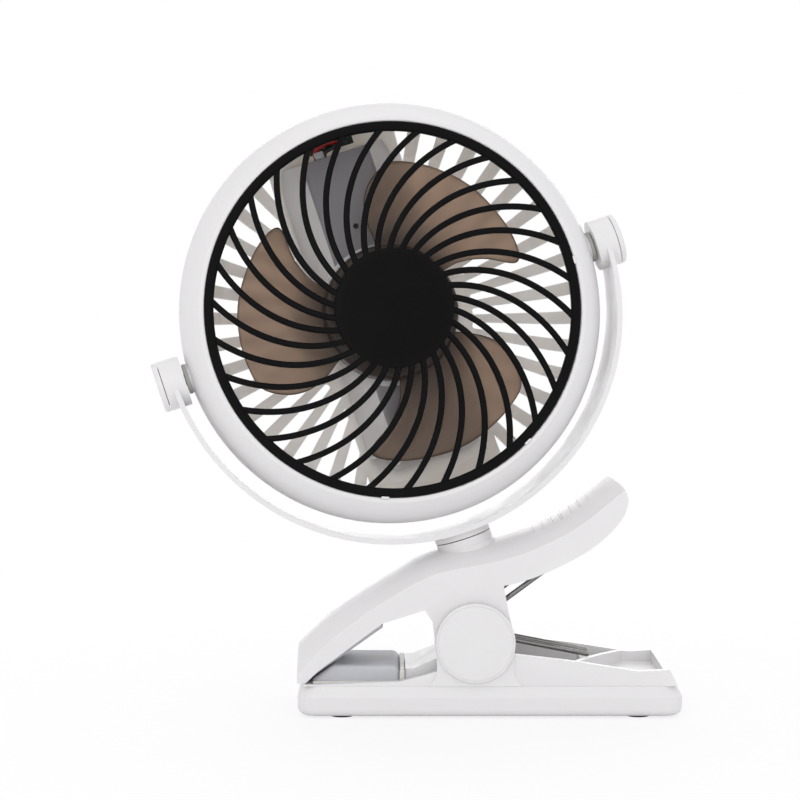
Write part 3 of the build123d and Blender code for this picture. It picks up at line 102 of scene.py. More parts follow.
def newGroup(name, inputs, outputs):
    group = bpy.data.node_groups.new(name, "ShaderNodeTree")
    addInputs(group, inputs)
    for socketName in outputs:
        kind = "Color" if socketName == "Colour" else "Float"
        group.interface.new_socket(socketName, in_out="OUTPUT", socket_type="NodeSocket" + kind)
    return group, group.nodes.new("NodeGroupInput"), group.nodes.new("NodeGroupOutput")


def feed(tree, socket, value):
    # links another socket, or sets a plain value
    if isinstance(value, bpy.types.NodeSocket):
        tree.links.new(value, socket)
    else:
        socket.default_value = value


def mathNode(tree, operation, first, second=None, clamp=False):
    node = tree.nodes.new("ShaderNodeMath")
    node.operation = operation
    node.use_clamp = clamp
    feed(tree, node.inputs[0], first)
    if second is not None:
        feed(tree, node.inputs[1], second)
    return node.outputs[0]


def noiseNode(tree, coords, scale, detail=3.0, roughness=0.55, distortion=0.0):
    node = tree.nodes.new("ShaderNodeTexNoise")
    node.inputs["Scale"].default_value = scale
    node.inputs["Detail"].default_value = detail
    node.inputs["Roughness"].default_value = roughness
    node.inputs["Distortion"].default_value = distortion
    tree.links.new(coords, node.inputs["Vector"])
    return node.outputs["Fac"]


def rangeNode(tree, value, fromLow, fromHigh, toLow=0.0, toHigh=1.0):
    node = tree.nodes.new("ShaderNodeMapRange")
    ends = {"Value": value, "From Min": fromLow, "From Max": fromHigh, "To Min": toLow, "To Max": toHigh}
    for socketName, number in ends.items():
        feed(tree, node.inputs[socketName], number)
    return node.outputs["Result"]


def mixColour(tree, factor, first, second):
    node = tree.nodes.new("ShaderNodeMix")
    node.data_type = "RGBA"
    for socketNumber, value in ((0, factor), (6, first), (7, second)):
        feed(tree, node.inputs[socketNumber], value)
    return node.outputs[2]


def objectCoords(tree):
    return tree.nodes.new("ShaderNodeTexCoord").outputs["Object"]


def variedRoughness(group, noise, start, end):
    # swings the roughness up and down by its spread, following a noise
    given = start.outputs
    around = rangeNode(group, noise, 0.3, 0.7, -1.0, 1.0)
    swing = mathNode(group, "MULTIPLY", around, given["Roughness Spread"])
    feed(group, end.inputs["Roughness"], mathNode(group, "ADD", given["Roughness"], swing, True))


def buildMouldGroup():
    # moulded plastic: broad cloudiness, faint flow streaks, fine spark texture and a few specks
    scales = {"cloud": 34.0, "dots": 240.0, "dotSpread": 95.0, "smear": 70.0, "grain": 2600.0, "wave": 260.0}
    dotSize, grainShare = 0.07, 0.7
    group, start, end = newGroup(
        "mouldedPlastic",
        {"Colour": (0.8, 0.8, 0.8, 1), "Cloud": (0.7, 0.7, 0.7, 1), "Cloudiness": 0.3,
         "Speck": (0.5, 0.5, 0.5, 1), "Specks": 0.2, "Roughness": 0.35, "Roughness Spread": 0.08},
        ["Colour", "Roughness", "Height"])
    coords = objectCoords(group)
    broad = rangeNode(group, noiseNode(group, coords, scales["cloud"], 4.0, 0.6, 0.4), 0.35, 0.72)
    cloud = mathNode(group, "MULTIPLY", broad, start.outputs["Cloudiness"], True)
    colour = mixColour(group, cloud, start.outputs["Colour"], start.outputs["Cloud"])
    dots = group.nodes.new("ShaderNodeTexVoronoi")
    dots.inputs["Scale"].default_value = scales["dots"]
    dots.inputs["Randomness"].default_value = 1.0
    group.links.new(coords, dots.inputs["Vector"])
    size = rangeNode(group, noiseNode(group, coords, scales["dotSpread"], 2.0), 0.56, 0.75, 0.0, dotSize)
    nearDot = mathNode(group, "LESS_THAN", dots.outputs["Distance"], size)
    speck = mathNode(group, "MULTIPLY", nearDot, start.outputs["Specks"], True)
    feed(group, end.inputs["Colour"], mixColour(group, speck, colour, start.outputs["Speck"]))
    variedRoughness(group, noiseNode(group, coords, scales["smear"], 5.0, 0.62, 1.2), start, end)
    fine = mathNode(group, "MULTIPLY", noiseNode(group, coords, scales["grain"], 2.0, 0.5), grainShare)
    soft = mathNode(group, "MULTIPLY", noiseNode(group, coords, scales["wave"], 2.0, 0.5), 1 - grainShare)
    feed(group, end.inputs["Height"], mathNode(group, "ADD", fine, soft))
    return group


def buildEdgeGroup():
    # mask that is 1 on the outer edges of a piece
    group, start, end = newGroup("edgeMask", {"Reach": 0.06, "Break Up": 0.5}, ["Mask"])
    pointiness = group.nodes.new("ShaderNodeNewGeometry").outputs["Pointiness"]
    edge = rangeNode(group, pointiness, 0.505, mathNode(group, "ADD", start.outputs["Reach"], 0.5))
    patch = rangeNode(group, noiseNode(group, objectCoords(group), 320.0, 4.0, 0.7), 0.35, 0.65)
    whole = mathNode(group, "SUBTRACT", 1.0, start.outputs["Break Up"])
    kept = mathNode(group, "ADD", patch, whole, True)
    feed(group, end.inputs["Mask"], mathNode(group, "MULTIPLY", edge, kept))
    return group


def buildDustGroup():
    # mask for the thin film of dust that lies on faces turned upwards
    group, start, end = newGroup("dustFilm", {"Amount": 0.2}, ["Mask"])
    split = group.nodes.new("ShaderNodeSeparateXYZ")
    feed(group, split.inputs[0], group.nodes.new("ShaderNodeNewGeometry").outputs["Normal"])
    upward = rangeNode(group, split.outputs["Z"], 0.25, 1.0)
    patch = rangeNode(group, noiseNode(group, objectCoords(group), 150.0, 6.0, 0.7), 0.3, 0.75)
    lying = mathNode(group, "MULTIPLY", upward, patch)
    feed(group, end.inputs["Mask"], mathNode(group, "MULTIPLY", lying, start.outputs["Amount"], True))
    return group


def buildBrushGroup():
    # fine drawn or turned marks on metal, stretched along one way
    group, start, end = newGroup(
        "toolMarks", {"Stretch": (1, 1, 1), "Roughness": 0.3, "Roughness Spread": 0.1},
        ["Roughness", "Height", "Stain"])
    coords = objectCoords(group)
    stretched = group.nodes.new("ShaderNodeVectorMath")
    stretched.operation = "MULTIPLY"
    group.links.new(coords, stretched.inputs[0])
    group.links.new(start.outputs["Stretch"], stretched.inputs[1])
    marks = noiseNode(group, stretched.outputs[0], 900.0, 5.0, 0.7)
    variedRoughness(group, marks, start, end)
    feed(group, end.inputs["Height"], marks)
    stain = noiseNode(group, coords, 210.0, 5.0, 0.65)
    feed(group, end.inputs["Stain"], rangeNode(group, stain, 0.5, 0.78))
    return group


mouldGroup, edgeGroup = buildMouldGroup(), buildEdgeGroup()
dustGroup, brushGroup = buildDustGroup(), buildBrushGroup()
print("shader groups are built")

# materials; the depth of the fine texture is in metres
grainDepth = 0.00004


def startMaterial(name, **settings):
    made = bpy.data.materials.new(name)
    made.use_nodes = True
    shader = made.node_tree.nodes["Principled BSDF"]
    for socketName, value in settings.items():
        shader.inputs[socketName.replace("_", " ")].default_value = value
    return made, made.node_tree, shader


def useGroup(tree, group, **values):
    node = tree.nodes.new("ShaderNodeGroup")
    node.node_tree = group
    for socketName, value in values.items():
        node.inputs[socketName.replace("_", " ")].default_value = value
    return node


def bumpInto(tree, shader, height, strength, distance):
    node = tree.nodes.new("ShaderNodeBump")
    node.inputs["Strength"].default_value = strength
    node.inputs["Distance"].default_value = distance
    tree.links.new(height, node.inputs["Height"])
    tree.links.new(node.outputs["Normal"], shader.inputs["Normal"])


def plastic(name, look):
    # one moulded plastic; look holds its colours and how shiny, grainy, worn and dusty it is, its worn edges
    # also carrying a painted highlight
    made, tree, shader = startMaterial(
        name, IOR=1.5, Coat_Weight=look.get("coat", 0.0), Coat_Roughness=0.12,
        Specular_IOR_Level=look.get("gloss", 0.5), Subsurface_Weight=look.get("glow", 0.0),
        Subsurface_Radius=(1.0, 0.9, 0.8), Subsurface_Scale=look.get("glowDepth", 0.0012))
    body = useGroup(
        tree, mouldGroup, Colour=(*look["colour"], 1), Cloud=(*look["cloud"], 1), Cloudiness=0.35,
        Speck=(*look["speck"], 1), Specks=look.get("specks", 0.3), Roughness=look["roughness"],
        Roughness_Spread=0.07)
    # edges take the edge colour: edge wear, and where that colour is lighter, a painted edge highlight
    edge = useGroup(tree, edgeGroup, Reach=0.07, Break_Up=0.5)
    dust = useGroup(tree, dustGroup, Amount=look.get("dust", 0.12)).outputs["Mask"]
    wornAndHighlit = mathNode(tree, "MULTIPLY", edge.outputs["Mask"], look.get("wear", 0.2), True)
    colour = mixColour(tree, wornAndHighlit, body.outputs["Colour"], (*look["edge"], 1))
    feed(tree, shader.inputs["Base Color"], mixColour(tree, dust, colour, (*look["film"], 1)))
    dulled = mathNode(tree, "MULTIPLY", dust, 0.4)
    feed(tree, shader.inputs["Roughness"], mathNode(tree, "ADD", body.outputs["Roughness"], dulled, True))
    bumpInto(tree, shader, body.outputs["Height"], look.get("bump", 0.25), grainDepth)
    return made


plasticLooks = {
    "whiteShell": {
        "colour": (0.775, 0.765, 0.77), "cloud": (0.75, 0.74, 0.745), "speck": (0.62, 0.61, 0.6),
        "edge": (0.86, 0.86, 0.86), "film": (0.70, 0.69, 0.67), "roughness": 0.36, "glow": 0.06,
        "specks": 0.08, "dust": 0.04, "coat": 0.03},
    "whiteSlats": {
        "colour": (0.86, 0.845, 0.825), "cloud": (0.84, 0.82, 0.80), "speck": (0.6, 0.59, 0.57),
        "edge": (0.88, 0.87, 0.86), "film": (0.76, 0.745, 0.72), "roughness": 0.42, "glow": 0.75,
        "glowDepth": 0.004, "specks": 0.1, "dust": 0.05},
    "blackGrille": {
        "colour": (0.003, 0.003, 0.0034), "cloud": (0.0045, 0.0045, 0.005), "speck": (0.05, 0.05, 0.05),
        "edge": (0.02, 0.02, 0.021), "film": (0.02, 0.02, 0.02), "roughness": 0.46, "specks": 0.2,
        "dust": 0.03, "wear": 0.3, "bump": 0.3, "gloss": 0.06},
    "greySilicone": {
        "colour": (0.56, 0.57, 0.60), "cloud": (0.52, 0.53, 0.56), "speck": (0.55, 0.55, 0.55),
        "edge": (0.50, 0.51, 0.53), "film": (0.55, 0.54, 0.52), "roughness": 0.55, "glow": 0.25,
        "dust": 0.2, "bump": 0.3},
    "creamPlastic": {
        "colour": (0.72, 0.71, 0.68), "cloud": (0.69, 0.675, 0.64), "speck": (0.5, 0.48, 0.43),
        "edge": (0.76, 0.74, 0.69), "film": (0.6, 0.58, 0.54), "roughness": 0.45, "glow": 0.08},
    "spacerRubber": {
        "colour": (0.42, 0.44, 0.40), "cloud": (0.37, 0.39, 0.35), "speck": (0.25, 0.25, 0.24),
        "edge": (0.5, 0.52, 0.48), "film": (0.5, 0.5, 0.47), "roughness": 0.65, "bump": 0.5},
    "blackRubber": {
        "colour": (0.022, 0.022, 0.023), "cloud": (0.035, 0.034, 0.033), "speck": (0.12, 0.12, 0.11),
        "edge": (0.06, 0.06, 0.06), "film": (0.16, 0.15, 0.14), "roughness": 0.7, "bump": 0.6, "specks": 0.4},
    "cellWrap": {
        "colour": (0.05, 0.22, 0.42), "cloud": (0.045, 0.19, 0.37), "speck": (0.2, 0.3, 0.4),
        "edge": (0.12, 0.3, 0.5), "film": (0.2, 0.28, 0.35), "roughness": 0.28, "bump": 0.3, "coat": 0.4},
    "redWire": {
        "colour": (0.45, 0.014, 0.012), "cloud": (0.36, 0.010, 0.010), "speck": (0.55, 0.2, 0.18),
        "edge": (0.55, 0.05, 0.04), "film": (0.4, 0.1, 0.08), "roughness": 0.35, "coat": 0.2},
    "blackWire": {
        "colour": (0.016, 0.016, 0.017), "cloud": (0.025, 0.025, 0.026), "speck": (0.1, 0.1, 0.1),
        "edge": (0.05, 0.05, 0.05), "film": (0.09, 0.09, 0.09), "roughness": 0.38, "coat": 0.2},
    "lampLens": {
        "colour": (0.62, 0.66, 0.62), "cloud": (0.55, 0.6, 0.55), "speck": (0.7, 0.72, 0.7),
        "edge": (0.8, 0.82, 0.8), "film": (0.6, 0.62, 0.6), "roughness": 0.18, "glow": 0.3, "coat": 0.6},
}
looks = {name: plastic(name, look) for name, look in plasticLooks.items()}


def metal(name, look):
    made, tree, shader = startMaterial(name, Metallic=1.0)
    marks = useGroup(
        tree, brushGroup, Stretch=look["stretch"], Roughness=look["roughness"], Roughness_Spread=0.12)
    edge = useGroup(tree, edgeGroup, Reach=0.06, Break_Up=0.4)
    stained = mathNode(tree, "MULTIPLY", marks.outputs["Stain"], look["stain"])
    colour = mixColour(tree, stained, (*look["colour"], 1), (*look["dull"], 1))
    # brighter edges: rubbed wear plus a painted edge highlight
    rubbedAndHighlit = mathNode(tree, "MULTIPLY", edge.outputs["Mask"], 0.5)
    feed(tree, shader.inputs["Base Color"], mixColour(tree, rubbedAndHighlit, colour, (*look["bright"], 1)))
    feed(tree, shader.inputs["Roughness"], marks.outputs["Roughness"])
    bumpInto(tree, shader, marks.outputs["Height"], 0.3, 0.75 * grainDepth)
    return made


metalLooks = {
    "steel": {
        "colour": (0.55, 0.55, 0.56), "dull": (0.36, 0.35, 0.34), "bright": (0.78, 0.78, 0.78),
        "stain": 0.5, "roughness": 0.3, "stretch": (1.0, 1.0, 1.0)},
    "springSteel": {
        "colour": (0.20, 0.195, 0.19), "dull": (0.11, 0.10, 0.095), "bright": (0.42, 0.41, 0.40),
        "stain": 0.7, "roughness": 0.32, "stretch": (0.12, 1.0, 0.3)},
}
looks.update({name: metal(name, look) for name, look in metalLooks.items()})


def buildSmoke():
    # translucent smoky brown plastic of the fan blades, darker along its rim, with painted shade on the inner
    # blades and on the hub
    made, tree, shader = startMaterial("smokeBlade", IOR=1.46, Transmission_Weight=0.62, Coat_Weight=0.15)
    rim = tree.nodes.new("ShaderNodeAttribute")
    rim.attribute_name = "rim"
    body = useGroup(
        tree, mouldGroup, Colour=(0.33, 0.225, 0.155, 1), Cloud=(0.29, 0.19, 0.13, 1), Cloudiness=0.5,
        Specks=0.0, Roughness=0.44, Roughness_Spread=0.01)
    # the rim attribute mixes in near black: the dark rim, and painted shade towards the hub
    colour = mixColour(tree, rim.outputs["Fac"], body.outputs["Colour"], (0.012, 0.008, 0.006, 1))
    feed(tree, shader.inputs["Base Color"], colour)
    feed(tree, shader.inputs["Roughness"], body.outputs["Roughness"])
    bumpInto(tree, shader, body.outputs["Height"], 0.01, grainDepth)
    return made


looks["smokeBlade"] = buildSmoke()


def buildBoard(name, mask, maskShade, track):
    # solder mask over copper tracks, with bare tinned pads
    made, tree, shader = startMaterial(name, Coat_Weight=0.4)
    coords = objectCoords(tree)
    tracks = tree.nodes.new("ShaderNodeTexBrick")
    tracks.inputs["Scale"].default_value = 320.0
    tracks.inputs["Mortar Size"].default_value = 0.06
    for socketName, colour in (("Color1", mask), ("Color2", maskShade), ("Mortar", track)):
        tracks.inputs[socketName].default_value = (*colour, 1)
    tree.links.new(coords, tracks.inputs["Vector"])
    pads = tree.nodes.new("ShaderNodeTexVoronoi")
    pads.inputs["Scale"].default_value = 520.0
    pads.inputs["Randomness"].default_value = 0.25
    tree.links.new(coords, pads.inputs["Vector"])
    pad = mathNode(tree, "LESS_THAN", pads.outputs["Distance"], 0.22)
    cluster = rangeNode(tree, noiseNode(tree, coords, 180.0, 1.0), 0.52, 0.54)
    bare = mathNode(tree, "MULTIPLY", pad, cluster, True)
    colour = mixColour(tree, bare, tracks.outputs["Color"], (0.62, 0.60, 0.55, 1))
    feed(tree, shader.inputs["Base Color"], colour)
    feed(tree, shader.inputs["Metallic"], mathNode(tree, "MULTIPLY", bare, 0.9))
    uneven = rangeNode(tree, noiseNode(tree, coords, 90.0), 0.3, 0.7, 0.22, 0.4)
    feed(tree, shader.inputs["Roughness"], uneven)
    bumpInto(tree, shader, tracks.outputs["Fac"], 0.3, grainDepth)
    return made


looks["boardGreen"] = buildBoard("boardGreen", (0.012, 0.13, 0.045), (0.010, 0.11, 0.038), (0.03, 0.24, 0.09))
# a darker copy of the board material: painted shade for a board that sits in shadow
looks["boardDark"] = buildBoard("boardDark", (0.006, 0.02, 0.012), (0.005, 0.016, 0.01), (0.01, 0.035, 0.02))


def buildHousing(frontDepth):
    # grey front panel between white sloping walls, told apart by depth in the head
    made, tree, shader = startMaterial("housingTwoTone")
    body = useGroup(
        tree, mouldGroup, Colour=(0.31, 0.295, 0.315, 1), Cloud=(0.275, 0.26, 0.28, 1), Cloudiness=0.4,
        Speck=(0.33, 0.33, 0.34, 1), Specks=0.2, Roughness=0.42, Roughness_Spread=0.06)
    depth = tree.nodes.new("ShaderNodeVectorMath")
    depth.operation = "DOT_PRODUCT"
    feed(tree, depth.inputs[0], objectCoords(tree))
    depth.inputs[1].default_value = spinWay
    edge = headCentre.dot(spinWay) + frontDepth * mm
    front = rangeNode(tree, depth.outputs["Value"], edge - 1.5 * mm, edge - 1.1 * mm)
    dust = useGroup(tree, dustGroup, Amount=0.15).outputs["Mask"]
    colour = mixColour(tree, front, (0.86, 0.85, 0.84, 1), body.outputs["Colour"])
    feed(tree, shader.inputs["Base Color"], mixColour(tree, dust, colour, (0.4, 0.39, 0.38, 1)))
    feed(tree, shader.inputs["Roughness"], body.outputs["Roughness"])
    bumpInto(tree, shader, body.outputs["Height"], 0.3, grainDepth)
    return made


looks["greyHousing"] = buildHousing(-9.6)

nodeSlots = {
    "white_shell": ["clip_base", "pivot_caps", "clip_arm", "yoke", "knob_cap_left", "knob_cap_right", "bezel",
                    "rear_cover", "power_button"],
    "white_slats": ["rear_shell", "motor_mount"],
    "black_grille": ["front_grille"],
    "smoke_blade": ["propeller"],
    "grey_housing": ["core_housing"],
    "grey_silicone": ["lower_jaw_pad", "upper_jaw_pad"],
    "cream_plastic": ["pad_tray"],
    "spacer_rubber": ["spacer_left", "spacer_right"],
    "black_rubber": ["rubber_feet", "tact_switch"],
    "steel": ["pivot_axle", "neck_washer", "neck_screw", "pivot_screws", "cover_screws", "charging_port",
              "motor_screws", "motor_can", "motor_shaft"],
    "spring_steel": ["torsion_spring"],
    "board_green": ["control_board", "port_board"],
    "cell_wrap": ["battery_cell"],
    "red_wire": ["lead_red"],
    "black_wire": ["lead_black"],
    "lamp_lens": ["indicator_light"],
}


def slotLook(slotName):
    # the material of a slot has the slot's name, written as one word
    first, *others = slotName.split("_")
    return looks[first + "".join(word.title() for word in others)]


for slotName, nodeNames in nodeSlots.items():
    for nodeName in nodeNames:
        node = frame["nodes"][nodeName]
        node.data.materials.clear()
        node.data.materials.append(slotLook(slotName))
# the port board takes the painted-shade copy of the board material
frame["nodes"]["port_board"].data.materials[0] = looks["boardDark"]
print("materials are on", len(frame["nodes"]), "carried pieces")

# mesh helpers


def addObject(name, data):
    made = bpy.data.objects.new(name, data)
    bpy.context.scene.collection.objects.link(made)
    return made


def makeMesh(name, points, faces, place):
    data = bpy.data.meshes.new(name)
    data.from_pydata([place @ Vector(point) for point in points], [], faces)
    data.validate()
    return addObject(name, data)


def turnProfile(name, profile, place, steps=160):
    # turns a closed (radius, depth) outline round the local Z way; points on the axis become one pole
    points, rings = [], []
    for radius, depth in profile:
        if radius < 1e-6:
            rings.append([len(points)] * steps)
            points.append((0, 0, depth))
        else:
            rings.append(list(range(len(points), len(points) + steps)))
            for step in range(steps):
                angle = 2 * math.pi * step / steps
                points.append((radius * math.cos(angle), radius * math.sin(angle), depth))
    faces = []
    for number, ring in enumerate(rings):
        other = rings[(number + 1) % len(rings)]
        for step in range(steps):
            after = (step + 1) % steps
            corner = [ring[step], ring[after], other[after], other[step]]
            corner = list(dict.fromkeys(corner))
            if len(corner) > 2:
                faces.append(corner)
    return makeMesh(name, points, faces, place)


def roundedOutline(corners, radii, steps=5):
    # rounds each corner of a closed flat outline
    outline = []
    for number, corner in enumerate(corners):
        radius = radii[number]
        here = Vector(corner)
        before = Vector(corners[number - 1]) - here
        after = Vector(corners[(number + 1) % len(corners)]) - here
        if radius <= 0 or before.length < 1e-9 or after.length < 1e-9:
            outline.append((here.x, here.y))
            continue
        half = before.angle(after) / 2
        reach = min(radius / math.tan(half), 0.49 * before.length, 0.49 * after.length)
        radius = reach * math.tan(half)
        first = here + before.normalized() * reach
        last = here + after.normalized() * reach
        middle = here + (before.normalized() + after.normalized()).normalized() * (radius / math.sin(half))
        startWay = first - middle
        total = startWay.angle(last - middle)
        sign = 1 if startWay.x * (last - middle).y - startWay.y * (last - middle).x > 0 else -1
        for step in range(steps + 1):
            turn = sign * total * step / steps
            spot = middle + Vector((startWay.x * math.cos(turn) - startWay.y * math.sin(turn),
                                    startWay.x * math.sin(turn) + startWay.y * math.cos(turn)))
            outline.append((spot.x, spot.y))
    return outline


def tidyMesh(made, smoothAngle=35):
    # merges doubles, turns the faces outwards and smooths all but the sharp edges
    data = made.data
    work = bmesh.new()
    work.from_mesh(data)
    bmesh.ops.remove_doubles(work, verts=work.verts, dist=1e-6)
    bmesh.ops.recalc_face_normals(work, faces=work.faces)
    work.to_mesh(data)
    work.free()
    data.polygons.foreach_set("use_smooth", [True] * len(data.polygons))
    data.set_sharp_from_angle(angle=math.radians(smoothAngle))
    data.update()
    return made


def dress(made, body, slotName, *nodes):
    # look, body and slot of a piece, and the carried pieces it stands in for
    made.data.materials.clear()
    made.data.materials.append(slotLook(slotName))
    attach(made, body)
    if nodes:
        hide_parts(*nodes)


def softened(name, nodeName, width, angle, steps=3):
    # copy of a carried piece with its moulded edges rounded
    work = bmesh.new()
    work.from_mesh(frame["nodes"][nodeName].data)
    bmesh.ops.remove_doubles(work, verts=work.verts, dist=2e-6)
    bmesh.ops.dissolve_limit(work, angle_limit=math.radians(0.8), verts=work.verts, edges=work.edges)
    for layer in list(work.loops.layers.float_vector):
        work.loops.layers.float_vector.remove(layer)
    data = bpy.data.meshes.new(name)
    work.to_mesh(data)
    work.free()
    marks = ("custom_normal", "sharp_edge", "sharp_face")
    for spare in [item.name for item in data.attributes if item.name in marks]:
        data.attributes.remove(data.attributes[spare])
    data.polygons.foreach_set("use_smooth", [True] * len(data.polygons))
    data.set_sharp_from_angle(angle=math.radians(angle))
    made = addObject(name, data)
    bevel = made.modifiers.new("edges", "BEVEL")
    bevel.width = width * mm
    bevel.segments = steps
    bevel.limit_method = "ANGLE"
    bevel.angle_limit = math.radians(angle)
    bevel.use_clamp_overlap = True
    bevel.miter_outer = "MITER_ARC"
    bevel.harden_normals = True
    evaluated = made.evaluated_get(bpy.context.evaluated_depsgraph_get())
    finished = bpy.data.meshes.new_from_object(evaluated)
    bpy.data.objects.remove(made)
    finished.name = name
    return addObject(name, finished)


def roundCorner(before, corner, after, radius, steps=7):
    # points of an arc that takes the place of a corner in space
    before, corner, after = Vector(before), Vector(corner), Vector(after)
    inWay, outWay = (before - corner).normalized(), (after - corner).normalized()
    half = inWay.angle(outWay) / 2
    reach = radius / math.tan(half)
    centre = corner + (inWay + outWay).normalized() * (radius / math.sin(half))
    first, last = corner + inWay * reach - centre, corner + outWay * reach - centre
    total = first.angle(last)
    arc = []
    for step in range(steps + 1):
        turn = total * step / steps
        arc.append(centre + (first * math.sin(total - turn) + last * math.sin(turn)) / math.sin(total))
    return arc


def sweepTube(name, line, radius, place, sides=14):
    # round wire along a line of points, its ends rounded over and closed
    line = [Vector(spot) for spot in line]
    spots = [line[0]] + line + [line[-1]]
    ways = [(after - before).normalized() for before, after in zip(spots, spots[2:])]
    endSteps, poleReach = ((0.35, 0.6), (0.14, 0.9)), 0.42
    side = ways[0].orthogonal().normalized()
    points, rings = [], []

    def addRing(centre, way, across, size):
        rings.append(list(range(len(points), len(points) + sides)))
        other = way.cross(across)
        for step in range(sides):
            turn = 2 * math.pi * step / sides
            points.append(tuple(centre + (across * math.cos(turn) + other * math.sin(turn)) * size))

    for reach, share in endSteps:
        addRing(line[0] - ways[0] * radius * reach, ways[0], side, radius * share)
    for number, spot in enumerate(line):
        if number:
            side = (side - ways[number] * side.dot(ways[number])).normalized()
        addRing(spot, ways[number], side, radius)
    for reach, share in reversed(endSteps):
        addRing(line[-1] + ways[-1] * radius * reach, ways[-1], side, radius * share)
    faces = []
    for low, high in zip(rings, rings[1:]):
        for step in range(sides):
            after = (step + 1) % sides
            faces.append([low[step], low[after], high[after], high[step]])
    ends = ((rings[0], ways[0], line[0], True), (rings[-1], ways[-1], line[-1], False))
    for ring, way, spot, turned in ends:
        pole = len(points)
        points.append(tuple(spot + way * radius * (-poleReach if turned else poleReach)))
        for step in range(sides):
            corner = [ring[step], ring[(step + 1) % sides], pole]
            faces.append(corner[::-1] if turned else corner)
    return makeMesh(name, points, faces, place)


def joined(name, parts):
    # one object from several, by their meshes
    work = bmesh.new()
    for part in parts:
        work.from_mesh(part.data)
        bpy.data.objects.remove(part)
    data = bpy.data.meshes.new(name)
    work.to_mesh(data)
    work.free()
    return addObject(name, data)


# Geometry Nodes helpers


def newTree(name, sizes):
    tree = bpy.data.node_groups.new(name, "GeometryNodeTree")
    tree.interface.new_socket("Geometry", in_out="OUTPUT", socket_type="NodeSocketGeometry")
    addInputs(tree, sizes)
    return tree, tree.nodes.new("NodeGroupInput"), tree.nodes.new("NodeGroupOutput")


def addNode(tree, kind, settings=(), **values):
    # values are given by socket name with underscores for spaces; a socket links, anything else is set
    node = tree.nodes.new(kind)
    for key, value in dict(settings).items():
        setattr(node, key, value)
    for socketName, value in values.items():
        wanted = socketName.replace("_", " ")
        socket = next(item for item in node.inputs if item.name == wanted and item.enabled)
        feed(tree, socket, value)
    return node


def growTree(name, tree, sizes, place):
    # runs a tree on an empty mesh, with its inputs set by identifier, and keeps the result as a plain mesh
    seed = addObject(name + "Seed", bpy.data.meshes.new(name + "Seed"))
    modifier = seed.modifiers.new("grow", "NODES")
    modifier.node_group = tree
    sockets = tree.interface.items_tree
    identifiers = {item.name: item.identifier for item in sockets if item.in_out == "INPUT"}
    for key, value in sizes.items():
        modifier[identifiers[key]] = value
    evaluated = seed.evaluated_get(bpy.context.evaluated_depsgraph_get())
    data = bpy.data.meshes.new_from_object(evaluated)
    seed.modifiers.remove(modifier)
    bpy.data.objects.remove(seed)
    data.name = name
    data.transform(place)
    return addObject(name, data)


# front grille
grille = {"ringOuter": 63.7, "ringInner": 60.5, "ringBack": 12.9, "ringFront": 15.75,
          "ringSoft": [0.3, 0.3, 0.7, 0.9], "ribs": 30, "ribWidth": 2.1, "ribDepth": 2.3, "ribRound": 0.72,
          "ribSteps": 28, "ribRoot": 1.5, "ribTip": 0.8, "twist": -0.889, "phase": 27.9, "hubRadius": 20.3,
          "rise": 5.4, "ribFront": 15.3, "discThick": 3.0, "discProud": 0.5, "discSoft": 0.3}
hubRadius, ringInner = grille["hubRadius"], grille["ringInner"]
ribSizes = {
    "Count": grille["ribs"], "Inner": hubRadius - grille["ribRoot"], "Outer": ringInner + grille["ribTip"],
    "Twist": grille["twist"], "Phase": grille["phase"], "Front": grille["ribFront"], "Rise": grille["rise"],
    "Rise Radius": ringInner, "Width": grille["ribWidth"], "Depth": grille["ribDepth"],
    "Corner": grille["ribRound"], "Hub": hubRadius, "Material": looks["blackGrille"]}


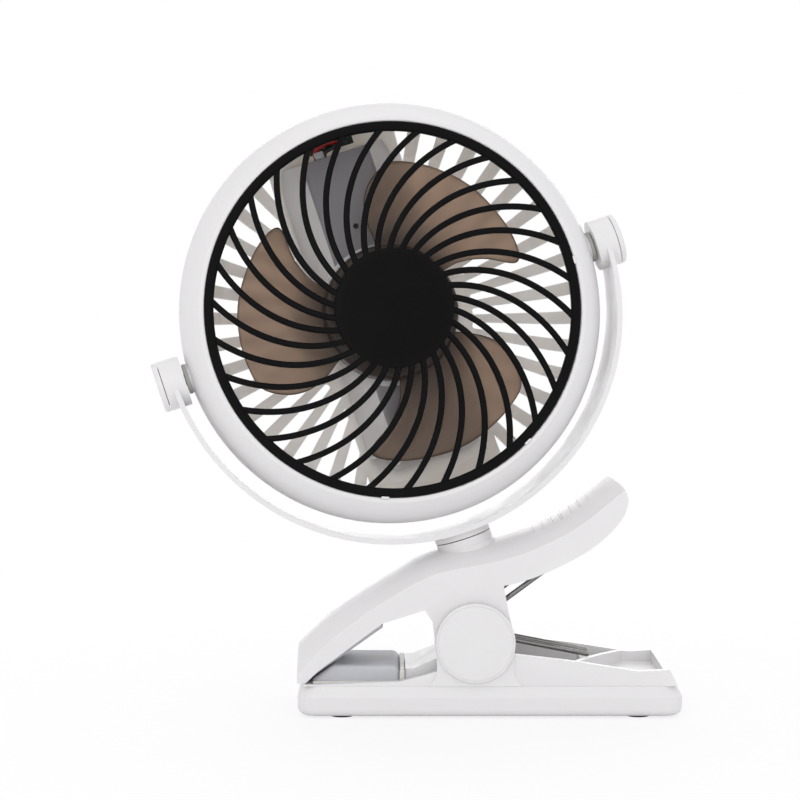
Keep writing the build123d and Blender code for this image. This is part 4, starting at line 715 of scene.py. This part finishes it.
def buildRibTree():
    # one spiral rib, drawn along a bent line and set round the hub
    tree, start, end = newTree("spiralRibs", ribSizes)
    given = start.outputs

    def maths(operation, first, second=None):
        return mathNode(tree, operation, first, second)

    line = addNode(tree, "GeometryNodeCurvePrimitiveLine", End=(1, 0, 0))
    fine = addNode(tree, "GeometryNodeResampleCurve", Curve=line.outputs[0], Count=grille["ribSteps"])
    along = tree.nodes.new("GeometryNodeSplineParameter").outputs["Factor"]
    reach = maths("SUBTRACT", given["Outer"], given["Inner"])
    radius = maths("ADD", given["Inner"], maths("MULTIPLY", along, reach))
    turned = maths("MULTIPLY", given["Twist"], maths("SUBTRACT", radius, given["Hub"]))
    angle = maths("RADIANS", maths("ADD", given["Phase"], turned))
    share = maths("DIVIDE", radius, given["Rise Radius"])
    dome = maths("MULTIPLY", given["Rise"], maths("SUBTRACT", 1.0, maths("MULTIPLY", share, share)))
    front = maths("ADD", given["Front"], dome)
    middle = maths("SUBTRACT", front, maths("MULTIPLY", given["Depth"], 0.5))
    sideways = maths("MULTIPLY", radius, maths("COSINE", angle))
    upwards = maths("MULTIPLY", radius, maths("SINE", angle))
    spot = addNode(tree, "ShaderNodeCombineXYZ", X=sideways, Y=upwards, Z=middle)
    bent = addNode(tree, "GeometryNodeSetPosition", Geometry=fine.outputs[0], Position=spot.outputs[0])
    upright = addNode(tree, "GeometryNodeSetCurveNormal", {"mode": "Z_UP"}, Curve=bent.outputs[0])
    section = addNode(
        tree, "GeometryNodeCurvePrimitiveQuadrilateral", Width=given["Width"], Height=given["Depth"])
    soft = addNode(
        tree, "GeometryNodeFilletCurve", Curve=section.outputs[0], Radius=given["Corner"], Limit_Radius=True)
    soft.mode = "POLY"
    next(item for item in soft.inputs if item.name == "Count" and item.enabled).default_value = 4
    rib = addNode(
        tree, "GeometryNodeCurveToMesh", Curve=upright.outputs[0], Profile_Curve=soft.outputs[0],
        Fill_Caps=True)
    smooth = addNode(tree, "GeometryNodeSetShadeSmooth", Geometry=rib.outputs[0])
    spots = addNode(tree, "GeometryNodePoints", Count=given["Count"])
    index = tree.nodes.new("GeometryNodeInputIndex").outputs[0]
    step = maths("DIVIDE", maths("MULTIPLY", index, 2 * math.pi), given["Count"])
    turn = addNode(tree, "ShaderNodeCombineXYZ", Z=step)
    euler = addNode(tree, "FunctionNodeEulerToRotation", Euler=turn.outputs[0])
    copies = addNode(
        tree, "GeometryNodeInstanceOnPoints", Points=spots.outputs[0], Instance=smooth.outputs[0],
        Rotation=euler.outputs[0])
    real = addNode(tree, "GeometryNodeRealizeInstances", Geometry=copies.outputs[0])
    coated = addNode(tree, "GeometryNodeSetMaterial", Geometry=real.outputs[0], Material=given["Material"])
    tree.links.new(coated.outputs[0], end.inputs[0])
    return tree


ribs = growTree("grilleRibs", buildRibTree(), ribSizes, headFrame)
ringCorners = [
    (ringInner, grille["ringBack"]), (grille["ringOuter"], grille["ringBack"]),
    (grille["ringOuter"], grille["ringFront"]), (ringInner, grille["ringFront"])]
ring = turnProfile("grilleRing", roundedOutline(ringCorners, grille["ringSoft"]), headFrame, 240)
discFront = grille["ribFront"] + grille["rise"] * (1 - (hubRadius / ringInner) ** 2) + grille["discProud"]
domeHeights = {0: 0.95, 0.3: 0.9, 0.6: 0.68, 0.85: 0.3}
rimDrops = {0.9: -0.02, 0.35: 0.18, 0.06: 0.55, 0: 1.0}
discProfile = [(hubRadius * share, discFront + height) for share, height in domeHeights.items()]
discProfile += [(hubRadius - inset, discFront - drop) for inset, drop in rimDrops.items()]
discBack, discSoft = discFront - grille["discThick"], grille["discSoft"]
discProfile += [(hubRadius, discBack + discSoft), (hubRadius - discSoft, discBack), (0, discBack)]
disc = turnProfile("grilleDisc", discProfile, headFrame, 120)
frontGrille = tidyMesh(joined("frontGrille", [ribs, ring, disc]), 40)
dress(frontGrille, "head", "black_grille", "front_grille")
print("front grille:", len(frontGrille.data.polygons), "faces")

# propeller
# the last keys set a painted shade that darkens the blades towards the hub and darkens the hub
propeller = {"phase": 45.5, "tip": 52.4, "hub": 23.2, "hubFront": 5.5, "hubBack": -6.4, "wall": 1.6,
             "pitch": 7.0, "rootTwist": 1.15, "twistLoss": 0.25, "thickness": 1.35, "midRadius": 38.0,
             "blades": 3, "hollow": 0.9, "hollowSpan": 42.0, "paintedShadeFrom": 35.0, "paintedShadeReach": 13.0,
             "paintedShadeDarkest": 0.62, "hubPaintedShade": 0.75}
# outline of one blade, as radius and angle
bladeRim = [(22.4, -24.0), (29.3, -27.0), (37.7, -33.5), (45.6, -41.0), (49.3, -40.5), (50.8, -32.0),
            (51.4, -20.0), (52.3, -6.0), (52.4, 6.0), (52.3, 18.0), (51.4, 27.0), (46.1, 34.5), (41.5, 38.6),
            (36.7, 41.0), (31.4, 41.6), (27.2, 40.5), (22.4, 37.0), (21.6, 20.0), (21.6, 5.0), (21.6, -10.0)]


def closedSpline(points, steps):
    # smooth closed line through the points
    smooth = []
    for number in range(len(points)):
        around = [Vector(points[(number + shift) % len(points)]) for shift in (-1, 0, 1, 2)]
        for step in range(steps):
            share = step / steps
            spot = 0.5 * ((2 * around[1]) + (around[2] - around[0]) * share
                          + (2 * around[0] - 5 * around[1] + 4 * around[2] - around[3]) * share ** 2
                          + (3 * around[1] - around[0] - 3 * around[2] + around[3]) * share ** 3)
            smooth.append((spot.x, spot.y))
    return smooth


def bladePoint(radius, angle, side, number):
    # a point on blade number, twisted along the angle and hollowed towards the tip
    turn = math.radians(angle + propeller["phase"] + 360 / propeller["blades"] * number)
    out = radius / propeller["tip"]
    lift = propeller["pitch"] * math.radians(angle) * (propeller["rootTwist"] - propeller["twistLoss"] * out)
    hollow = propeller["hollow"] * (1 - (angle / propeller["hollowSpan"]) ** 2) * out ** 2
    return (radius * math.cos(turn), radius * math.sin(turn), lift - hollow + side)


def buildPropeller():
    rim = closedSpline(bladeRim, 5)
    middle, half = propeller["midRadius"], propeller["thickness"] / 2
    # each ring is the rim drawn in by a share, with the share of the thickness it has there
    shells = [(1.0, 0.0), (0.994, 0.55), (0.98, 0.85), (0.94, 1.0), (0.84, 1.0), (0.68, 1.0), (0.46, 1.0),
              (0.22, 1.0)]
    points, rimAndPaintedShade, faces = [], [], []
    for number in range(propeller["blades"]):
        rings = {1: [], -1: []}
        for side, sideShells in ((1, shells), (-1, shells[1:])):
            for share, thick in sideShells:
                rings[side].append(list(range(len(points), len(points) + len(rim))))
                for radius, angle in rim:
                    spread = middle + share * (radius - middle)
                    points.append(bladePoint(spread, share * angle, side * thick * half, number))
                    # painted shade, deepest near the hub, kept in the same attribute as the dark rim
                    inwards = (propeller["paintedShadeFrom"] - spread) / propeller["paintedShadeReach"]
                    paintedShade = propeller["paintedShadeDarkest"] * min(1.0, max(0.0, inwards))
                    rimAndPaintedShade.append(1.0 if share > 0.985 else max(paintedShade, 0.3 if share > 0.96 else 0.0))
        rings[-1].insert(0, rings[1][0])
        for side, own in rings.items():
            for outer, inner in zip(own, own[1:]):
                for step in range(len(rim)):
                    after = (step + 1) % len(rim)
                    corner = [outer[step], outer[after], inner[after], inner[step]]
                    faces.append(corner if side > 0 else corner[::-1])
            pole = len(points)
            points.append(bladePoint(middle, 0.0, side * half, number))
            rimAndPaintedShade.append(0.0)
            for step in range(len(rim)):
                corner = [own[-1][step], own[-1][(step + 1) % len(rim)], pole]
                faces.append(corner if side > 0 else corner[::-1])
    blades = makeMesh("propellerBlades", points, faces, headFrame)
    outer, inner = propeller["hub"], propeller["hub"] - propeller["wall"]
    front, back = propeller["hubFront"], propeller["hubBack"]
    under = front - propeller["wall"]
    hubProfile = roundedOutline(
        [(0.0, front), (outer, front), (outer, back), (inner, back), (inner, under), (0.0, under)],
        [0, 2.2, 0.4, 0.4, 0.8, 0])
    hub = turnProfile("propellerHub", hubProfile, headFrame, 144)
    # the hub gets an even painted shade
    for part, shares in ((blades, rimAndPaintedShade), (hub, [propeller["hubPaintedShade"]] * len(hub.data.vertices))):
        part.data.attributes.new("rim", "FLOAT", "POINT").data.foreach_set("value", shares)
    return tidyMesh(joined("propellerSmoke", [blades, hub]), 50)


smokeFan = buildPropeller()
dress(smokeFan, "rotor", "smoke_blade", "propeller")
print("propeller:", len(smokeFan.data.polygons), "faces")

# torsion spring
spring = {"hinge": (-5.0, 24.7), "coil": 4.7, "pitch": 2.35, "turns": 3, "innerY": 5.6, "lift": 18.0,
          "bendX": 6.4, "bend": 2.6, "tipX": 34.2, "drop": 11.0, "rise": 37.0, "upper": 42.0,
          "bridgeBend": 2.4, "wire": 0.9, "step": 9.0, "foldLean": 12.0}


def springSide(size):
    # one half of the wire, from its lower tip through the coil to the middle of the bridge
    rise = size["pitch"] / (2 * math.pi * size["coil"])

    def coilSpot(angle, depth):
        turn, (x, z), coil = math.radians(angle), size["hinge"], size["coil"]
        return Vector((x + coil * math.cos(turn), depth, z + coil * math.sin(turn)))

    startAngle = -90 + size["lift"]
    sweep = 360 * size["turns"] + 180 + size["lift"] - size["rise"]
    first = coilSpot(startAngle, -size["innerY"])
    run = size["bendX"] - first.x
    lift, drop = math.tan(math.radians(size["lift"])), math.tan(math.radians(size["drop"]))
    corner = Vector((size["bendX"], first.y + run * math.sqrt(1 + lift * lift) * rise, first.z + run * lift))
    tip = Vector((size["tipX"], corner.y, corner.z - (size["tipX"] - size["bendX"]) * drop))
    count = math.ceil(sweep / size["step"])
    swept = [sweep * step / count for step in range(count + 1)]
    turns = [coilSpot(startAngle - angle, -size["innerY"] - size["pitch"] * angle / 360) for angle in swept]
    endTurn = math.radians(startAngle - sweep)
    way = Vector((math.sin(endTurn), -rise, -math.cos(endTurn))).normalized()
    elbow = turns[-1] + way * (size["upper"] + size["bridgeBend"])
    middle = Vector((elbow.x, 0, elbow.z))
    straight = [turns[-1] + way * size["upper"] * step / 6 for step in range(1, 6)]
    return ([tip, tip.lerp(corner, 0.5)] + roundCorner(tip, corner, first, size["bend"]) + turns + straight
            + roundCorner(turns[-1], elbow, middle, size["bridgeBend"]) + [middle])


nearSide = springSide(spring)
farSide = [Vector((spot.x, -spot.y, spot.z)) for spot in nearSide[-2::-1]]
wire = sweepTube("torsionSpringWire", nearSide + farSide, spring["wire"], clipFrame)
torsionSpring = tidyMesh(wire, 60)
torsionSpring.data.materials.append(looks["springSteel"])
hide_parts("torsion_spring")
foldLean = math.radians(spring["foldLean"])
acrossWay = Vector((-math.sin(foldLean), 0, math.cos(foldLean)))
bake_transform(torsionSpring, "base", "arm", start=tuple(hingePoint - acrossWay * 0.0034), end=tuple(hingePoint + acrossWay * 0.004))
print("torsion spring:", len(torsionSpring.data.polygons), "faces")

# clip and yoke mouldings with rounded edges
# each is a carried piece, the width in mm and the angle of its rounded edges, its body and its slot
softPieces = {
    "clipBaseShell": ("clip_base", 0.4, 22, "base", "white_shell"),
    "clipArmShell": ("clip_arm", 0.7, 24, "arm", "white_shell"),
    "yokeStrap": ("yoke", 0.45, 40, "yoke", "white_shell"),
    "padTray": ("pad_tray", 0.45, 40, "base", "cream_plastic"),
    "lowerJawPad": ("lower_jaw_pad", 0.7, 30, "base", "grey_silicone"),
    "upperJawPad": ("upper_jaw_pad", 0.5, 30, "arm", "grey_silicone"),
    "feet": ("rubber_feet", 0.3, 40, "base", "black_rubber"),
    "knobCapLeft": ("knob_cap_left", 0.3, 40, "yoke", "white_shell"),
    "knobCapRight": ("knob_cap_right", 0.3, 40, "yoke", "white_shell"),
    "spacerLeft": ("spacer_left", 0.3, 40, "head", "spacer_rubber"),
    "spacerRight": ("spacer_right", 0.3, 40, "head", "spacer_rubber"),
    "rearCoverShell": ("rear_cover", 0.35, 40, "head", "white_shell"),
    "powerButtonCap": ("power_button", 0.3, 40, "button", "white_shell"),
    "chargingSocket": ("charging_port", 0.12, 40, "head", "steel"),
}
for pieceName, (nodeName, width, angle, body, slotName) in softPieces.items():
    dress(softened(pieceName, nodeName, width, angle), body, slotName, nodeName)
print("rounded mouldings:", len(softPieces))

# hinge caps, grille tabs and housing details
caps = {"centre": (-5.0, 24.7), "inner": 24.2, "thick": 1.5, "radius": 13.4, "groove": 12.5,
        "grooveDepth": 0.18, "grooveWidth": 0.22, "grooveSide": 0.12,
        "rim": ((0.42, 0), (0.12, 0.14), (0, 0.45))}  # how far in and down the rounded rim goes


def capDisc(side):
    # shallow disc with a fine groove inside its rounded rim
    height, radius, groove = caps["thick"], caps["radius"], caps["groove"]
    floor, far = height - caps["grooveDepth"], groove + caps["grooveWidth"]
    profile = [(0, height), (groove - caps["grooveSide"], height), (groove, floor), (far, floor),
               (far + caps["grooveSide"], height)]
    profile += [(radius - inset, height - drop) for inset, drop in caps["rim"]] + [(radius, 0), (0, 0)]
    centre = Vector((caps["centre"][0], side * caps["inner"], caps["centre"][1])) * mm
    ways = Vector((1, 0, 0)), Vector((0, 0, -side)), Vector((0, side, 0))
    return turnProfile("cap", profile, placedFrame(centre, *ways), 128)


hingeCaps = tidyMesh(joined("hingeCapDiscs", [capDisc(-1), capDisc(1)]), 30)
dress(hingeCaps, "base", "white_shell", "pivot_caps")


def roundedBar(name, width, height, depth, soft, place):
    # small moulded block: a rounded outline with its front edge turned over
    signs = ((-1, -1), (1, -1), (1, 1), (-1, 1))
    corners = [(x * width / 2, y * height / 2) for x, y in signs]
    outline = roundedOutline(corners, [soft] * 4, 4)
    levels = [(1.0, 0.0), (1.0, depth - soft * 0.6), (1.0 - soft * 0.25 / height, depth - soft * 0.15),
              (1.0 - soft / height, depth)]
    points = [(x * share, y * share, level) for share, level in levels for x, y in outline]
    count = len(outline)
    faces = []
    for low in range(0, count * (len(levels) - 1), count):
        for step in range(count):
            after = (step + 1) % count
            faces.append((low + step, low + after, low + count + after, low + count + step))
    faces.append(tuple(range(count))[::-1])
    faces.append(tuple(range(len(points) - count, len(points))))
    return makeMesh(name, points, faces, place)


tabs = {"angles": (249.0, 297.0, 357.0), "radius": 63.75, "front": 15.45, "size": (2.6, 0.7, 0.6),
        "soft": 0.2}
tabParts = []
for angle in tabs["angles"]:
    turned = headFrame @ Matrix.Rotation(math.radians(angle - 90), 4, "Z")
    place = turned @ Matrix.Translation((0, tabs["radius"], tabs["front"]))
    tabParts.append(roundedBar("tab", *tabs["size"], tabs["soft"], place))
grilleTabs = tidyMesh(joined("grilleTabs", tabParts), 30)
dress(grilleTabs, "head", "white_shell")

housingScrew = {"place": (-0.9, 32.8, -9.6), "radius": 1.5, "hole": 0.95, "base": 0.02, "top": 0.24,
                "soft": 0.2}
outer, hole = housingScrew["radius"], housingScrew["hole"]
low, high, soft = housingScrew["base"], housingScrew["top"], housingScrew["soft"]
screwParts = {
    "housingScrewRim": ("grey_housing", [(hole, low), (outer, low), (outer, 0.14), (outer - soft, high),
                                         (hole + soft, high), (hole, 0.1)]),
    # the hole is a shallow black dish: painted shade standing in for the depth of the hole
    "housingScrewHolePaintedShade": ("black_rubber", [(0, low), (hole - low, low), (hole - low, 0.12), (hole * 0.6, 0.05),
                                          (0, 0.04)]),
}
for pieceName, (slotName, profile) in screwParts.items():
    made = turnProfile(pieceName, profile, headFrame @ Matrix.Translation(housingScrew["place"]), 48)
    dress(tidyMesh(made, 30), "head", slotName)

bracket = {"place": (-5.2, 60.3, -13.0), "size": (3.4, 2.6, 1.6), "soft": 0.35}
bracketPlace = headFrame @ Matrix.Translation(bracket["place"])
wireBracket = tidyMesh(roundedBar("wireBracket", *bracket["size"], bracket["soft"], bracketPlace), 30)
dress(wireBracket, "head", "white_slats")
print("caps, tabs and housing details are on")

# floor, light and background
stage = {"floorHeight": -0.0006, "floorHalf": 3.0, "floorColour": (0.90, 0.90, 0.90), "shadowNear": 0.09,
         "shadowFar": 0.24, "nearShare": 0.78, "skyColour": (0.99, 0.985, 1.0), "skyStrength": 0.87}


def mixInto(tree, share, first, second, output):
    blend = tree.nodes.new("ShaderNodeMixShader")
    feed(tree, blend.inputs[0], share)
    for number, shader in ((1, first), (2, second)):
        tree.links.new(shader.outputs[0], blend.inputs[number])
    tree.links.new(blend.outputs[0], output.inputs["Surface"])


def buildFloor():
    # pale floor that keeps the shadow near the piece and goes white for the camera further out
    half, height = stage["floorHalf"], stage["floorHeight"]
    corners = [(x, y, height) for x, y in ((-half, -half), (half, -half), (half, half), (-half, half))]
    data = bpy.data.meshes.new("floor")
    data.from_pydata(corners, [], [(0, 1, 2, 3)])
    made, tree, shader = startMaterial(
        "paleFloor", Base_Color=(*stage["floorColour"], 1), Roughness=0.7, Specular_IOR_Level=0.2)
    away = tree.nodes.new("ShaderNodeVectorMath")
    away.operation = "LENGTH"
    feed(tree, away.inputs[0], objectCoords(tree))
    shown = rangeNode(
        tree, away.outputs["Value"], stage["shadowNear"], stage["shadowFar"], stage["nearShare"], 1.0)
    seen = tree.nodes.new("ShaderNodeLightPath").outputs["Is Camera Ray"]
    glow = tree.nodes.new("ShaderNodeEmission")
    glow.inputs["Color"].default_value = (1, 1, 1, 1)
    mixInto(tree, mathNode(tree, "MULTIPLY", seen, shown), shader, glow, tree.nodes["Material Output"])
    data.materials.append(made)
    floor = addObject("floor", data)


def buildSky():
    # soft light from all round, white where the camera or a see-through piece looks past the object
    world = bpy.data.worlds.new("studio")
    bpy.context.scene.world = world
    world.use_nodes = True
    tree = world.node_tree
    lit = tree.nodes["Background"]
    lit.inputs["Color"].default_value = (*stage["skyColour"], 1)
    lit.inputs["Strength"].default_value = stage["skyStrength"]
    white = tree.nodes.new("ShaderNodeBackground")
    white.inputs["Color"].default_value = (1, 1, 1, 1)
    rays = tree.nodes.new("ShaderNodeLightPath").outputs
    seen = mathNode(tree, "MAXIMUM", rays["Is Camera Ray"], rays["Is Transmission Ray"])
    mixInto(tree, seen, lit, white, tree.nodes["World Output"])


def softLight(name, place, aim, size, power, colour):
    data = bpy.data.lights.new(name, "AREA")
    data.shape = "RECTANGLE"
    data.size, data.size_y = size
    data.energy = power
    data.color = colour
    lamp = addObject(name, data)
    lamp.location = place
    lamp.rotation_mode = "QUATERNION"
    lamp.rotation_quaternion = (Vector(aim) - Vector(place)).to_track_quat("-Z", "Y")


buildFloor()
buildSky()
# place, aim, size in metres, power in watts, colour
lamps = {
    "keySoftbox": ((-0.45, -1.25, 0.75), (0, 0, 0.12), (1.1, 1.0), 2.8, (1.0, 0.985, 0.97)),
    "frontSoftbox": ((-0.05, -1.6, 0.22), (0, 0, 0.13), (0.9, 0.9), 1.2, (1.0, 0.995, 0.99)),
    "fillSoftbox": ((0.85, -1.1, 0.35), (0, 0, 0.12), (0.9, 0.9), 1.0, (0.97, 0.98, 1.0)),
    "backSoftbox": ((0.15, 1.5, 0.35), (0, 0, 0.13), (1.2, 1.0), 6.2, (1.0, 1.0, 1.0)),
    "topSoftbox": ((0.0, 0.15, 1.1), (0, 0, 0.10), (1.0, 0.8), 0.9, (1.0, 1.0, 1.0)),
}
for lampName, lamp in lamps.items():
    softLight(lampName, *lamp)

view = bpy.context.scene.view_settings
view.view_transform = "Standard"
print("stage and light are up")
